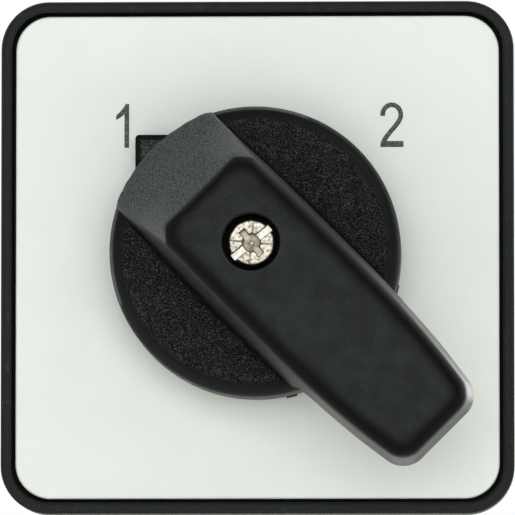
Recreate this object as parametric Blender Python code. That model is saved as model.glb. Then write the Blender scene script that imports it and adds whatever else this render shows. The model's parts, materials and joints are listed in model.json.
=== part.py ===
"""Battery changeover switch for a panel: two positions, two poles, 48 mm square front plate.

Frame: the front faces -Y, +Z is up and +X is to the right as seen from the front. The origin is
on the turning axis, in the rear face of the rear cover. Depths below are counted from the panel's
front surface, where the panel_plane empty sits. Lengths are in millimetres, and solid() turns
finished meshes into metres.
"""

import math

import bmesh
import bpy
from mathutils import Matrix

MM = 0.001

# Front plate, outside the panel
PLATE_SIDE = 48.0
PLATE_CORNER = 4.5
BEZEL_FRONT = -6.0
BEZEL_REAR = -1.5
BEZEL_FLOOR = -2.6
BEZEL_LEDGE = -4.2
BEZEL_LIP = 1.05
BEZEL_EDGE = 0.35
COLLAR_RADIUS = 8.6
SEAL_SEAT_RADIUS = 7.3
PANEL_HOLE_RADIUS = 5.0
SCREW_CLEARANCE_RADIUS = 2.1
INSERT_SIDE = 45.2
INSERT_CORNER = 3.3
INSERT_FRONT = -5.7
INSERT_REAR = -4.5
LEDGE_SIDE = 43.0
LEDGE_CORNER = 2.0
GASKET_THICK = 1.2

# Handle: the thumb grip points along +X of its own frame, and HANDLE_ANGLE turns it to lower right
HANDLE_ANGLE = math.radians(45.0)
DISC_RADIUS = 13.5
DISC_REAR = -7.8
DISC_FRONT = -13.7
DISC_FILLET = 1.2
DISC_DISH = 0.5
GRIP_FRONT = -25.7
GRIP_ARM_REAR = -19.7
GRIP_TIP = 24.15
GRIP_TIP_DRAFT = 0.55
GRIP_TIP_CORNER = 1.7
GRIP_WIDEST_AT = 4.0
GRIP_FRONT_WIDTH = 11.3
GRIP_ARM_WIDTH = 12.6
GRIP_BASE_WIDTH = 13.1
GRIP_TAPER = 0.00032
GRIP_TAPER_BEHIND = 11.7
GRIP_EDGE = 1.0
RAMP_TOP = -6.3
RAMP_FOOT = -13.3
RAMP_LOW = -14.2
ARM_ROOT = 13.0
COUNTERBORE_RADIUS = 2.6
COUNTERBORE_FLOOR = -21.2
SCREW_HOLE_RADIUS = 1.8
SOCKET_SIDE = 6.5
SOCKET_END = -17.9

# Handle screw and its washer
HEAD_FRONT = -24.2
HEAD_REAR = -22.1
HEAD_RADIUS = 2.2
HANDLE_SCREW_TIP = -12.0
SCREW_ANGLE = math.radians(51.0)
WASHER_RADIUS = 2.05

# Pointer ring under the disc
POINTER_FRONT = -7.5
POINTER_REAR = -6.0
POINTER_RING_RADIUS = 13.0
POINTER_REACH = 15.9
LUG_REACH = 13.55
LUG_WIDTH = 1.0
LUG_ANGLE = math.radians(31.0)

# Shaft
SHAFT_SIDE = 6.0
SHAFT_FRONT = -17.6
JOURNAL_RADIUS = 4.6
JOURNAL_FRONT = -5.6
JOURNAL_REAR = 6.6
PIVOT_RADIUS = 2.8
PIVOT_FRONT = 33.6
PIVOT_REAR = 35.8

# Behind the panel
BODY_SIDE = 42.0
BODY_CORNER = 2.5
FLANGE_SIDE = 45.0
FLANGE_FRONT = 2.6
FLANGE_REAR = 6.0
SCREW_PITCH = 36.0
BOLT_HEIGHT = 17.5
LATCH_FRONT = 6.3
LATCH_FLOOR = 13.6
LATCH_REAR = 15.0
STAR_FRONT = 7.0
STAR_REAR = 12.0
STAR_RADIUS = 7.3
STAR_LOBE = 0.7
STOP_REAR = 13.2
STOP_LUG_REACH = 10.4
STOP_LUG_HALF = math.radians(12.0)
STOP_CLEARANCE = math.radians(1.6)
TURN = math.radians(90.0)

# Contact chambers
CHAMBER_PITCH = 9.5
CHAMBER_FRONT = 15.3
CHAMBER_DEPTH = 9.2
CHAMBER_WALL = 1.0
CHAMBER_MIDDLE = 5.1
CAM_LOW = 5.4
CAM_HIGH = 7.2
CAM_THICK = 6.0
CARRIER_NOSE = 5.7
CARRIER_END = 12.4
BRIDGE_INNER = 9.3
BRIDGE_THICK = 0.8
BRIDGE_REACH = 10.6
SPRING_END = 18.3
SPRING_RADIUS = 1.6
SPRING_WIRE = 0.24
CARRIER_HALF = 3.6
CAM_ROOM_RADIUS = 8.3
SHAFT_ROOM_RADIUS = 4.7
CONTACT_HEIGHT = 9.2
BUTTON_RADIUS = 1.1
BUTTON_PROUD = 0.12
PAD_OUTER = 8.9
STRIP_THICK = 0.9
STRIP_HALF = 2.5
STRIP_TOP = 17.0
RISER_HEIGHT = 12.1
CLAMP_OUTER = 17.2
TERMINAL_HEIGHT = 14.6
COVER_FRONT = 34.3
COVER_REAR = 37.6
BOLT_SEAT = 35.8
BOLT_HOLE_RADIUS = 1.75
BOLT_HEAD_RADIUS = 2.75
BOLT_SHANK_RADIUS = 1.5
NUT_RADIUS = 3.1


# ---------------------------------------------------------------- outlines, as (x, z) points

def circle(radius, steps, x=0.0, z=0.0):
    turns = [2 * math.pi * i / steps for i in range(steps)]
    return [(x + radius * math.cos(a), z + radius * math.sin(a)) for a in turns]


def rounded_square(side, corner, steps=4):
    points = []
    inset = side / 2 - corner
    for quarter in range(4):
        start = quarter * math.pi / 2
        x = inset * (1 if quarter in (0, 3) else -1)
        z = inset * (1 if quarter in (0, 1) else -1)
        for i in range(steps + 1):
            a = start + math.pi / 2 * i / steps
            points.append((x + corner * math.cos(a), z + corner * math.sin(a)))
    return points


def rectangle(x0, x1, z0, z1):
    return [(x0, z0), (x1, z0), (x1, z1), (x0, z1)]


def star_outline():
    """Four lobes, with a valley at the top and bottom in both positions."""
    steps = 48
    points = []
    for i in range(steps):
        a = 2 * math.pi * i / steps
        r = STAR_RADIUS - STAR_LOBE * math.cos(4 * a)
        points.append((r * math.cos(a), r * math.sin(a)))
    return points


def cam_radius(angle):
    """Falls for a quarter turn, dwells low, rises for a quarter turn and dwells high."""
    quarter, along = divmod(angle / (math.pi / 2), 1.0)
    lift = CAM_HIGH - CAM_LOW
    if quarter == 0:
        return CAM_HIGH - lift * along
    if quarter == 1:
        return CAM_LOW
    if quarter == 2:
        return CAM_LOW + lift * along
    return CAM_HIGH


def cam_outline():
    steps = 48
    angles = [2 * math.pi * i / steps for i in range(steps)]
    return [(cam_radius(a) * math.cos(a), cam_radius(a) * math.sin(a)) for a in angles]


def sector(inner, outer, start, end, steps):
    angles = [start + (end - start) * i / steps for i in range(steps + 1)]
    outside = [(outer * math.cos(a), outer * math.sin(a)) for a in angles]
    inside = [(inner * math.cos(a), inner * math.sin(a)) for a in reversed(angles)]
    return outside + inside


# ---------------------------------------------------------------- closed shapes, in millimetres

def closed(bm):
    bmesh.ops.remove_doubles(bm, verts=bm.verts, dist=1e-5)
    bmesh.ops.recalc_face_normals(bm, faces=bm.faces)
    return bm


def prism(outline, front, rear, holes=()):
    """An outline in the XZ plane extruded from y = front to y = rear, less any hole outlines."""
    bm = bmesh.new()
    for loop in (outline, *holes):
        corners = [bm.verts.new((x, front, z)) for x, z in loop]
        for i, corner in enumerate(corners):
            bm.edges.new((corner, corners[(i + 1) % len(corners)]))
    if holes:
        bmesh.ops.triangle_fill(bm, use_beauty=True, edges=bm.edges[:])
    else:
        bm.faces.new(bm.verts[:])
    side = bmesh.ops.extrude_face_region(bm, geom=bm.faces[:])
    moved = [item for item in side["geom"] if isinstance(item, bmesh.types.BMVert)]
    bmesh.ops.translate(bm, verts=moved, vec=(0, rear - front, 0))
    return closed(bm)


def box(x0, x1, y0, y1, z0, z1):
    return prism(rectangle(x0, x1, z0, z1), y0, y1)


def turned(profile, steps):
    """A (radius, y) profile turned about the Y axis. It starts and ends on the axis, or is a ring."""
    bm = bmesh.new()
    corners = [bm.verts.new((radius, y, 0)) for radius, y in profile]
    pairs = list(zip(corners, corners[1:]))
    if profile[0][0] > 0:
        pairs.append((corners[-1], corners[0]))
    edges = [bm.edges.new(pair) for pair in pairs]
    bmesh.ops.spin(bm, geom=corners + edges, cent=(0, 0, 0), axis=(0, 1, 0), dvec=(0, 0, 0),
                   angle=2 * math.pi, steps=steps, use_merge=True)
    return closed(bm)


def moved(bm, matrix):
    bmesh.ops.transform(bm, matrix=matrix, verts=bm.verts)
    return closed(bm)


def lofted(sections):
    """Closed sections with equally many points, joined one to the next and capped at both ends."""
    bm = bmesh.new()
    rings = [[bm.verts.new(point) for point in section] for section in sections]
    for near, far in zip(rings, rings[1:]):
        for i in range(len(near)):
            j = (i + 1) % len(near)
            bm.faces.new((near[i], near[j], far[j], far[i]))
    bm.faces.new(rings[0][::-1])
    bm.faces.new(rings[-1])
    return closed(bm)


def coil(radius, wire, start, end, turns, steps, sides):
    """A round wire wound about the X axis from x = start to x = end."""
    sections = []
    total = turns * steps
    for i in range(total + 1):
        a = 2 * math.pi * i / steps
        x = start + (end - start) * i / total
        ring = []
        for k in range(sides):
            b = 2 * math.pi * k / sides
            r = radius + wire * math.cos(b)
            ring.append((x + wire * math.sin(b), r * math.cos(a), r * math.sin(a)))
        sections.append(ring)
    return lofted(sections)


def square_socket(front, rear, turn=0.0):
    """The cutter for the square hole that takes the shaft."""
    half = SOCKET_SIDE / 2
    return moved(box(-half, half, front, rear, -half, half), Matrix.Rotation(turn, 4, "Y"))


# ---------------------------------------------------------------- objects

def object_from(name, bm):
    mesh = bpy.data.meshes.new(name)
    bm.to_mesh(mesh)
    bm.free()
    piece = bpy.data.objects.new(name, mesh)
    bpy.context.scene.collection.objects.link(piece)
    return piece


def solid(name, base, joins=(), cuts=()):
    """The base with the joins added and the cuts taken away, as one finished mesh in metres."""
    piece = object_from(name, base)
    tools = [(shape, "UNION") for shape in joins] + [(shape, "DIFFERENCE") for shape in cuts]
    helpers = []
    for shape, operation in tools:
        helper = object_from(name + "_tool", shape)
        helpers.append(helper)
        modifier = piece.modifiers.new(operation.lower(), "BOOLEAN")
        modifier.object = helper
        modifier.operation = operation
        modifier.solver = "EXACT"
    graph = bpy.context.evaluated_depsgraph_get()
    mesh = bpy.data.meshes.new_from_object(piece.evaluated_get(graph))
    for helper in (piece, *helpers):
        bpy.data.objects.remove(helper)
    mesh.name = name
    mesh.transform(Matrix.Scale(MM, 4))
    mesh.shade_smooth()
    mesh.set_sharp_from_angle(angle=math.radians(32))
    return mesh


def material(name, colour, roughness, metallic=0.0):
    made = bpy.data.materials.new(name)
    made.use_nodes = True
    shader = made.node_tree.nodes["Principled BSDF"]
    shader.inputs["Base Color"].default_value = (*colour, 1.0)
    shader.inputs["Roughness"].default_value = roughness
    shader.inputs["Metallic"].default_value = metallic
    return made


def place(name, mesh, finish, parent, location=(0, 0, 0), rotation=(0, 0, 0)):
    piece = bpy.data.objects.new(name, mesh)
    bpy.context.scene.collection.objects.link(piece)
    piece.parent = parent
    piece.location = [MM * value for value in location]
    piece.rotation_euler = rotation
    if not mesh.materials:
        mesh.materials.append(finish)
    return piece


def empty(name, parent=None, location=(0, 0, 0)):
    made = bpy.data.objects.new(name, None)
    made.parent = parent
    made.empty_display_size = 5 * MM
    made.location = [MM * value for value in location]
    bpy.context.scene.collection.objects.link(made)
    return made


def clear_scene():
    for old in list(bpy.data.objects):
        bpy.data.objects.remove(old)


# ---------------------------------------------------------------- front plate

def corner_points():
    half = SCREW_PITCH / 2
    return [(-half, half), (half, half), (half, -half), (-half, -half)]


def bezel_frame():
    """A raised rim round a pocket for the dial plate, with a collar that holds the shaft seal."""
    body = prism(rounded_square(PLATE_SIDE, PLATE_CORNER, 6), BEZEL_FRONT, BEZEL_REAR)
    rim = [edge for edge in body.edges
           if all(abs(end.co.y - BEZEL_FRONT) < 1e-4 for end in edge.verts)]
    bmesh.ops.bevel(body, geom=rim, offset=BEZEL_EDGE, segments=2, affect="EDGES", profile=0.5)
    over = 1.0
    pocket_side = PLATE_SIDE - 2 * BEZEL_LIP
    pocket = prism(rounded_square(pocket_side, PLATE_CORNER - BEZEL_LIP, 6),
                   BEZEL_FRONT - over, BEZEL_LEDGE)
    room = prism(rounded_square(LEDGE_SIDE, LEDGE_CORNER), BEZEL_LEDGE - over, BEZEL_FLOOR,
                 [circle(COLLAR_RADIUS, 24)])
    cuts = [pocket, room, prism(circle(SEAL_SEAT_RADIUS, 24), BEZEL_LEDGE - over, BEZEL_FLOOR),
            prism(circle(PANEL_HOLE_RADIUS, 20), BEZEL_FLOOR - over, BEZEL_REAR + over)]
    for x, z in corner_points():
        hole = circle(SCREW_CLEARANCE_RADIUS, 10, x, z)
        cuts.append(prism(hole, BEZEL_FLOOR - over, BEZEL_REAR + over))
    return solid("bezel_frame", closed(body), cuts=cuts)


def dial_plate():
    body = prism(rounded_square(INSERT_SIDE, INSERT_CORNER, 6), INSERT_FRONT, INSERT_REAR,
                 [circle(PANEL_HOLE_RADIUS + 0.2, 20)])
    return solid("dial_plate", body)


def bezel_gasket():
    inset = 1.0
    holes = [circle(COLLAR_RADIUS + 0.4, 24)]
    holes += [circle(SCREW_CLEARANCE_RADIUS, 10, x, z) for x, z in corner_points()]
    outline = rounded_square(PLATE_SIDE - 2 * inset, PLATE_CORNER - inset)
    body = prism(outline, -GASKET_THICK, 0.0, holes)
    return solid("bezel_gasket", body)


def shaft_seal():
    """A ring with a lip that leans towards the shaft, and a groove behind the lip."""
    front, rear = -4.1, -2.9
    lip, body_inner, groove, body_outer = 4.75, 5.1, 5.6, 7.0
    profile = [(lip, front), (lip + 0.2, front), (groove, rear - 0.5), (groove + 0.2, front),
               (body_outer, front), (body_outer, rear), (body_inner, rear)]
    return solid("shaft_seal", turned(profile, 20))


def mounting_screw():
    """Low pan head with a cross recess, drawn about the Y axis."""
    head_front, head_rear, tip = -4.1, -2.9, 5.6
    head, shank = 3.0, 1.7
    profile = [(0, head_front), (head - 0.7, head_front), (head, head_front + 0.6),
               (head, head_rear), (shank, head_rear), (shank, tip - 0.5), (shank - 0.5, tip), (0, tip)]
    reach, half, recess_floor = 1.4, 0.3, head_front + 0.8
    cross = [box(-reach, reach, head_front - 1, recess_floor, -half, half),
             box(-half, half, head_front - 1, recess_floor, -reach, reach)]
    return solid("mounting_screw", turned(profile, 12), cuts=cross)


# ---------------------------------------------------------------- handle group

def wall_draft(y):
    """0 on the grip's front face, 1 at the arm's rear face, and constant behind that."""
    return min((y - GRIP_FRONT) / (GRIP_ARM_REAR - GRIP_FRONT), 1.0)


def grip_half_width(u, y):
    """Half the grip's width at u along it, for a depth y."""
    widest = GRIP_FRONT_WIDTH + (GRIP_ARM_WIDTH - GRIP_FRONT_WIDTH) * wall_draft(y)
    if y > GRIP_ARM_REAR:
        below = (y - GRIP_ARM_REAR) / (DISC_FRONT - GRIP_ARM_REAR)
        widest += (GRIP_BASE_WIDTH - GRIP_ARM_WIDTH) * below
    off_widest = max(u - GRIP_WIDEST_AT, -GRIP_TAPER_BEHIND)
    half = (widest - GRIP_TAPER * abs(off_widest) ** 3) / 2
    if u < 0 or y > GRIP_ARM_REAR:
        half = min(half, math.sqrt((DISC_RADIUS - 0.15) ** 2 - u ** 2))
    into_corner = u - (GRIP_TIP - GRIP_TIP_CORNER)
    if into_corner > 0:
        half -= GRIP_TIP_CORNER - math.sqrt(max(GRIP_TIP_CORNER ** 2 - into_corner ** 2, 0.0))
    return half


def grip_section(u, front, rear):
    """A closed section across the grip, with rounded front edges."""
    fillet_steps = 3
    slant = GRIP_TIP_DRAFT * max(u - ARM_ROOT, 0) / (GRIP_TIP - ARM_ROOT)
    middle = max(min(GRIP_ARM_REAR, rear - 0.05), front + GRIP_EDGE + 0.05)
    points = []
    for side in (1, -1):
        wall = []
        for i in range(fillet_steps + 1):
            a = math.pi / 2 * i / fillet_steps
            y = front + GRIP_EDGE * (1 - math.sin(a))
            half = grip_half_width(u, y) - GRIP_EDGE * (1 - math.cos(a))
            wall.append((u + slant * wall_draft(y), y, side * half))
        lower = [(u + slant * wall_draft(y), y, side * grip_half_width(u, y)) for y in (rear, middle)]
        points += [*lower, *wall] if side > 0 else [*reversed(wall), *reversed(lower)]
    return points


def grip():
    """Ramp behind the axis, full height over the shaft, and an arm that overhangs the disc."""
    buried = DISC_FRONT + 2.5
    sections = []
    for share in (0.0, 0.03, 0.08, 0.16, 0.28, 0.6, 0.94):
        front = RAMP_LOW + (GRIP_FRONT - RAMP_LOW) * share
        sections.append(grip_section(RAMP_FOOT + (RAMP_TOP - RAMP_FOOT) * share, front, buried))
    for u in (RAMP_TOP + 0.3, -3.0, 1.0, 5.0, 9.0, ARM_ROOT - 0.6):
        sections.append(grip_section(u, GRIP_FRONT, buried))
    sections.append(grip_section(ARM_ROOT, GRIP_FRONT, GRIP_ARM_REAR + 0.6))
    for u in (ARM_ROOT + 0.8, 17.0, 20.5, GRIP_TIP - GRIP_TIP_CORNER):
        sections.append(grip_section(u, GRIP_FRONT, GRIP_ARM_REAR))
    for share in (0.5, 0.85):
        u = GRIP_TIP - GRIP_TIP_CORNER * (1 - share)
        sections.append(grip_section(u, GRIP_FRONT + 0.15 * share, GRIP_ARM_REAR))
    sections.append(grip_section(GRIP_TIP - 0.02, GRIP_FRONT + 0.6, GRIP_ARM_REAR))
    return lofted(sections)


def handle():
    """Disc and grip in one moulding, with a counterbored screw hole and a square socket."""
    profile = [(0, DISC_REAR), (DISC_RADIUS, DISC_REAR), (DISC_RADIUS, DISC_FRONT + DISC_FILLET)]
    for i in range(1, 5):
        a = math.pi / 2 * i / 4
        profile.append((DISC_RADIUS - DISC_FILLET * (1 - math.cos(a)),
                        DISC_FRONT + DISC_FILLET * (1 - math.sin(a))))
    profile += [(DISC_RADIUS * 0.6, DISC_FRONT + DISC_DISH * 0.8), (0, DISC_FRONT + DISC_DISH)]
    over = 2.0
    hub, rim, web = 7.0, DISC_RADIUS - 1.7, DISC_FRONT + 1.7
    hollow = [(hub, DISC_REAR + over), (rim, DISC_REAR + over), (rim, web), (hub, web)]
    stepped = [(0, GRIP_FRONT - over), (COUNTERBORE_RADIUS, GRIP_FRONT - over),
               (COUNTERBORE_RADIUS, COUNTERBORE_FLOOR), (SCREW_HOLE_RADIUS, COUNTERBORE_FLOOR),
               (SCREW_HOLE_RADIUS, SOCKET_END + over), (0, SOCKET_END + over)]
    cuts = [turned(stepped, 24),
            square_socket(SOCKET_END, DISC_REAR + over, HANDLE_ANGLE),
            turned(hollow, 24)]
    return solid("handle", turned(profile, 48), joins=[grip()], cuts=cuts)


def handle_screw():
    """Pan head with a slot across and a cross recess in its middle."""
    shank = 1.5
    profile = [(0, HEAD_FRONT), (HEAD_RADIUS - 0.45, HEAD_FRONT),
               (HEAD_RADIUS - 0.12, HEAD_FRONT + 0.15),
               (HEAD_RADIUS, HEAD_FRONT + 0.5), (HEAD_RADIUS, HEAD_REAR), (shank, HEAD_REAR),
               (shank, HANDLE_SCREW_TIP - 0.4), (shank - 0.4, HANDLE_SCREW_TIP), (0, HANDLE_SCREW_TIP)]
    over = 1.0
    slot_half, slot_floor = 0.3, HEAD_FRONT + 0.7
    cross_half, cross_reach, cross_floor = 0.25, 1.3, HEAD_FRONT + 1.2
    cuts = [box(-slot_half, slot_half, HEAD_FRONT - over, slot_floor, -3, 3),
            box(-cross_reach, cross_reach, HEAD_FRONT - over, cross_floor, -cross_half, cross_half),
            box(-cross_half, cross_half, HEAD_FRONT - over, cross_floor, -cross_reach, cross_reach)]
    return solid("handle_screw", turned(profile, 20), cuts=cuts)


def lock_washer():
    """A dished ring."""
    profile = [(1.65, -21.95), (WASHER_RADIUS, -21.8), (WASHER_RADIUS, -21.35), (1.65, -21.5)]
    return solid("lock_washer", turned(profile, 16))


def pointer_ring():
    """A ring behind the disc with a square corner for a pointer and two locating lugs."""
    body = prism(circle(POINTER_RING_RADIUS, 36), POINTER_FRONT, POINTER_REAR)
    reach = POINTER_REACH
    corner = prism([(-reach, 0), (-reach / 2, -reach / 2), (0, 0), (-reach / 2, reach / 2)],
                   POINTER_FRONT, POINTER_REAR)
    tips = [e for e in corner.edges if all(abs(v.co.x + reach) < 1e-4 for v in e.verts)]
    bmesh.ops.bevel(corner, geom=tips, offset=0.3, segments=3, affect="EDGES", profile=0.5)
    lugs = []
    for angle in (LUG_ANGLE, -LUG_ANGLE):
        lug = box(POINTER_RING_RADIUS - 1.5, LUG_REACH, POINTER_FRONT + 0.1, POINTER_REAR - 0.1,
                  -LUG_WIDTH / 2, LUG_WIDTH / 2)
        lugs.append(moved(lug, Matrix.Rotation(angle, 4, "Y")))
    hole = square_socket(POINTER_FRONT - 1, POINTER_REAR + 1, HANDLE_ANGLE)
    return solid("pointer_ring", body, joins=[closed(corner), *lugs], cuts=[hole])


# ---------------------------------------------------------------- shaft and latch

def shaft():
    """Square with a round journal in the flange and a round pivot in the rear cover."""
    half = SHAFT_SIDE / 2
    square = [(half, half - 0.4), (half - 0.4, half)]
    outline = square + [(-z, x) for x, z in square] + [(-x, -z) for x, z in square]
    outline += [(z, -x) for x, z in square]
    body = prism(outline, SHAFT_FRONT, PIVOT_FRONT)
    journal = prism(circle(JOURNAL_RADIUS, 24), JOURNAL_FRONT, JOURNAL_REAR)
    pivot = prism(circle(PIVOT_RADIUS, 16), PIVOT_FRONT - 1.0, PIVOT_REAR)
    thread = prism(circle(1.7, 12), SHAFT_FRONT - 1.0, HANDLE_SCREW_TIP + 0.6)
    return solid("shaft", body, joins=[journal, pivot], cuts=[thread])


def bolt_holes():
    return [circle(BOLT_HOLE_RADIUS, 10, 0, z) for z in (-BOLT_HEIGHT, BOLT_HEIGHT)]


def mounting_flange():
    """The plate behind the panel, with hexagonal pockets for the nuts of the through bolts."""
    corner, screw_hole, pocket_floor = 3.5, 1.9, 5.0
    holes = [circle(JOURNAL_RADIUS + 0.35, 24)]
    holes += [circle(screw_hole, 10, x, z) for x, z in corner_points()]
    body = prism(rounded_square(FLANGE_SIDE, corner), FLANGE_FRONT, FLANGE_REAR, holes)
    cuts = [prism(hole, FLANGE_FRONT, FLANGE_REAR + 1) for hole in bolt_holes()]
    for z in (-BOLT_HEIGHT, BOLT_HEIGHT):
        cuts.append(prism(circle(NUT_RADIUS + 0.35, 6, 0, z), FLANGE_FRONT - 1, pocket_floor))
    return solid("mounting_flange", body, cuts=cuts)


def latch_housing():
    """A tray for the star wheel and its springs."""
    room_side, room_corner = 27.0, 3.0
    body = prism(rounded_square(BODY_SIDE, BODY_CORNER), LATCH_FRONT, LATCH_REAR, bolt_holes())
    cuts = [prism(rounded_square(room_side, room_corner), LATCH_FRONT - 1, LATCH_FLOOR),
            prism(circle(SHAFT_ROOM_RADIUS, 20), LATCH_FLOOR - 1, LATCH_REAR + 1)]
    return solid("latch_housing", body, cuts=cuts)


def star_wheel():
    """Four detent lobes, and behind them the lug that meets the stops."""
    hub = prism(circle(6.0, 24), STAR_REAR - 0.5, STOP_REAR)
    pointer_angle = math.radians(135.0)
    lug = prism(sector(4.9, STOP_LUG_REACH, pointer_angle - STOP_LUG_HALF,
                       pointer_angle + STOP_LUG_HALF, 4), STAR_REAR - 0.3, STOP_REAR)
    hole = square_socket(STAR_FRONT - 1, STOP_REAR + 1)
    return solid("star_wheel", prism(star_outline(), STAR_FRONT, STAR_REAR), joins=[hub, lug],
                 cuts=[hole])


def stop_segment():
    """The arc that leaves the lug a window of a quarter turn."""
    clear = STOP_LUG_HALF + STOP_CLEARANCE
    start = math.radians(135.0) + clear
    end = math.radians(135.0) - TURN - clear + 2 * math.pi
    arc = sector(STAR_RADIUS + 1.0, 12.6, start, end, 20)
    return solid("stop_segment", prism(arc, STAR_REAR + 0.3, STOP_REAR))


def detent_spring():
    """A leaf spring above the star wheel, with a rounded bump that sits in its valley."""
    thick, half_span, bump_half = 0.4, 11.5, 2.6
    rest = 10.6
    bump_end = STAR_RADIUS - STAR_LOBE + 0.25
    line = [(-half_span, rest - 0.9), (-half_span + 1.2, rest)]
    steps = 10
    for i in range(steps + 1):
        x = -bump_half + 2 * bump_half * i / steps
        line.append((x, rest - (rest - bump_end) * 0.5 * (1 + math.cos(math.pi * x / bump_half))))
    line += [(half_span - 1.2, rest), (half_span, rest - 0.9)]
    outline = line + [(x, z + thick) for x, z in reversed(line)]
    return solid("detent_spring", prism(outline, STAR_FRONT + 0.6, STAR_REAR - 0.6))


# ---------------------------------------------------------------- contact chambers
# Each piece is drawn about its chamber's middle, for the upper left contact. Half turns about
# X, Y and Z put the same mesh in the other places.

def peg(radius, steps, near, far, z=0.0):
    """A round bar along X between two distances on the left of the axis, at height z."""
    bar = moved(prism(circle(radius, steps), near, far), Matrix.Rotation(math.pi / 2, 4, "Z"))
    return moved(bar, Matrix.Translation((0, 0, z)))


def side_box(side, near, far, y0, y1, z0, z1):
    """A box between two distances from the axis, on the left (-1) or the right (1)."""
    return box(*sorted((side * near, side * far)), y0, y1, z0, z1)


def chamber():
    """Open at the back, with room for the cam, the sliders, the bridges and the terminals."""
    front = -CHAMBER_MIDDLE
    rear = front + CHAMBER_DEPTH
    floor = front + CHAMBER_WALL
    over = rear + 1.0
    channel_half = CARRIER_HALF + 0.4
    bridge_near, bridge_far, bridge_top = 7.7, 12.6, 12.5
    strip_near, strip_far, strip_low, strip_high = 7.9, 17.5, 10.9, 12.4
    recess_near, recess_far, recess_low, recess_high = 15.9, 22.0, 11.8, 17.3
    body = prism(rounded_square(BODY_SIDE, BODY_CORNER), front, rear, bolt_holes())
    cuts = [prism(circle(CAM_ROOM_RADIUS, 28), floor, over),
            prism(circle(SHAFT_ROOM_RADIUS, 16), front - 1, floor + 1)]
    for side in (-1, 1):
        cuts.append(side_box(side, 4.0, SPRING_END + 0.3, floor, over, -channel_half, channel_half))
        cuts.append(side_box(side, bridge_near, bridge_far, floor, over, -bridge_top, bridge_top))
        for z in (-1, 1):
            strip = sorted((z * strip_low, z * strip_high))
            recess = sorted((z * recess_low, z * recess_high))
            cuts.append(side_box(side, strip_near, strip_far, floor, over, *strip))
            cuts.append(side_box(side, recess_near, recess_far, floor, over, *recess))
            hole = peg(1.9, 8, 13.4, 16.5, z * TERMINAL_HEIGHT)
            cuts.append(moved(hole, Matrix.Rotation(math.pi if side > 0 else 0.0, 4, "Y")))
    return solid("contact_chamber", body, cuts=cuts)


def terminal():
    """Contact pad, riser and clamp plate, bent from one strip."""
    pad_inner = PAD_OUTER - STRIP_THICK
    clamp_inner = CLAMP_OUTER - STRIP_THICK
    outline = [(-PAD_OUTER, 7.6), (-pad_inner, 7.6), (-pad_inner, RISER_HEIGHT),
               (-clamp_inner, RISER_HEIGHT), (-clamp_inner, STRIP_TOP), (-CLAMP_OUTER, STRIP_TOP),
               (-CLAMP_OUTER, RISER_HEIGHT - STRIP_THICK), (-PAD_OUTER, RISER_HEIGHT - STRIP_THICK)]
    button = peg(BUTTON_RADIUS, 8, PAD_OUTER - 0.3, PAD_OUTER + BUTTON_PROUD, CONTACT_HEIGHT)
    hole = peg(1.55, 8, clamp_inner - 1, CLAMP_OUTER + 1, TERMINAL_HEIGHT)
    return solid("terminal", prism(outline, -STRIP_HALF, STRIP_HALF), joins=[button], cuts=[hole])


def terminal_screw():
    """Slotted screw with a square clamp washer, drawn along -X at the terminal's height."""
    head, shank, washer_half = 2.3, 1.35, 2.2
    head_end, head_seat, tip = -20.1, -18.2, -14.0
    profile = [(0, head_end), (head - 0.4, head_end), (head, head_end + 0.4), (head, head_seat),
               (shank, head_seat + 0.2), (shank, tip - 0.4), (shank - 0.4, tip), (0, tip)]
    washer = box(-washer_half, washer_half, head_seat - 0.1, head_seat + 0.7,
                 -washer_half, washer_half)
    slot = box(-0.35, 0.35, head_end - 0.9, head_end + 0.9, -3, 3)
    upright = Matrix.Translation((0, 0, TERMINAL_HEIGHT)) @ Matrix.Rotation(-math.pi / 2, 4, "Z")
    shapes = [moved(shape, upright) for shape in (turned(profile, 12), washer, slot)]
    return solid("terminal_screw", shapes[0], joins=[shapes[1]], cuts=[shapes[2]])


def contact_carrier():
    """The slider between cam and spring. The bridge passes through its window."""
    nose = -CARRIER_NOSE
    end = -CARRIER_END
    half_depth, nose_half, nose_length = 3.2, 0.4, 2.2
    outline = [(nose, -nose_half), (nose, nose_half), (nose - nose_length, CARRIER_HALF),
               (end, CARRIER_HALF), (end, -CARRIER_HALF), (nose - nose_length, -CARRIER_HALF)]
    play = 0.2
    window = box(-BRIDGE_INNER - BRIDGE_THICK - play, -BRIDGE_INNER + play, -2.4, 2.4, -5, 5)
    bore = peg(SPRING_RADIUS + 0.5, 12, BRIDGE_INNER + 0.4, CARRIER_END + 1)
    body = prism(outline, -half_depth, half_depth)
    return solid("contact_carrier", body, cuts=[window, bore])


def contact_bridge():
    """The moving contact: a flat bar with a silver button near each end."""
    outer = BRIDGE_INNER + BRIDGE_THICK
    bar = box(-outer, -BRIDGE_INNER, -2.1, 2.1, -BRIDGE_REACH, BRIDGE_REACH)
    buttons = [peg(BUTTON_RADIUS, 8, BRIDGE_INNER - BUTTON_PROUD, BRIDGE_INNER + 0.3, z)
               for z in (-CONTACT_HEIGHT, CONTACT_HEIGHT)]
    return solid("contact_bridge", bar, joins=buttons)


def contact_spring(lift):
    """The coil that presses the bridge inwards, shorter by the lift where its contact is open."""
    clear = 0.1
    start = -BRIDGE_INNER - BRIDGE_THICK - SPRING_WIRE - clear - lift
    wound = coil(SPRING_RADIUS, SPRING_WIRE, start, -SPRING_END + SPRING_WIRE, 5, 8, 4)
    return solid("contact_spring", wound)


def cam(name):
    body = prism(cam_outline(), -CAM_THICK / 2, CAM_THICK / 2)
    hole = square_socket(-CAM_THICK, CAM_THICK)
    return solid(name, body, cuts=[hole])


# ---------------------------------------------------------------- rear cover and through bolts

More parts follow.
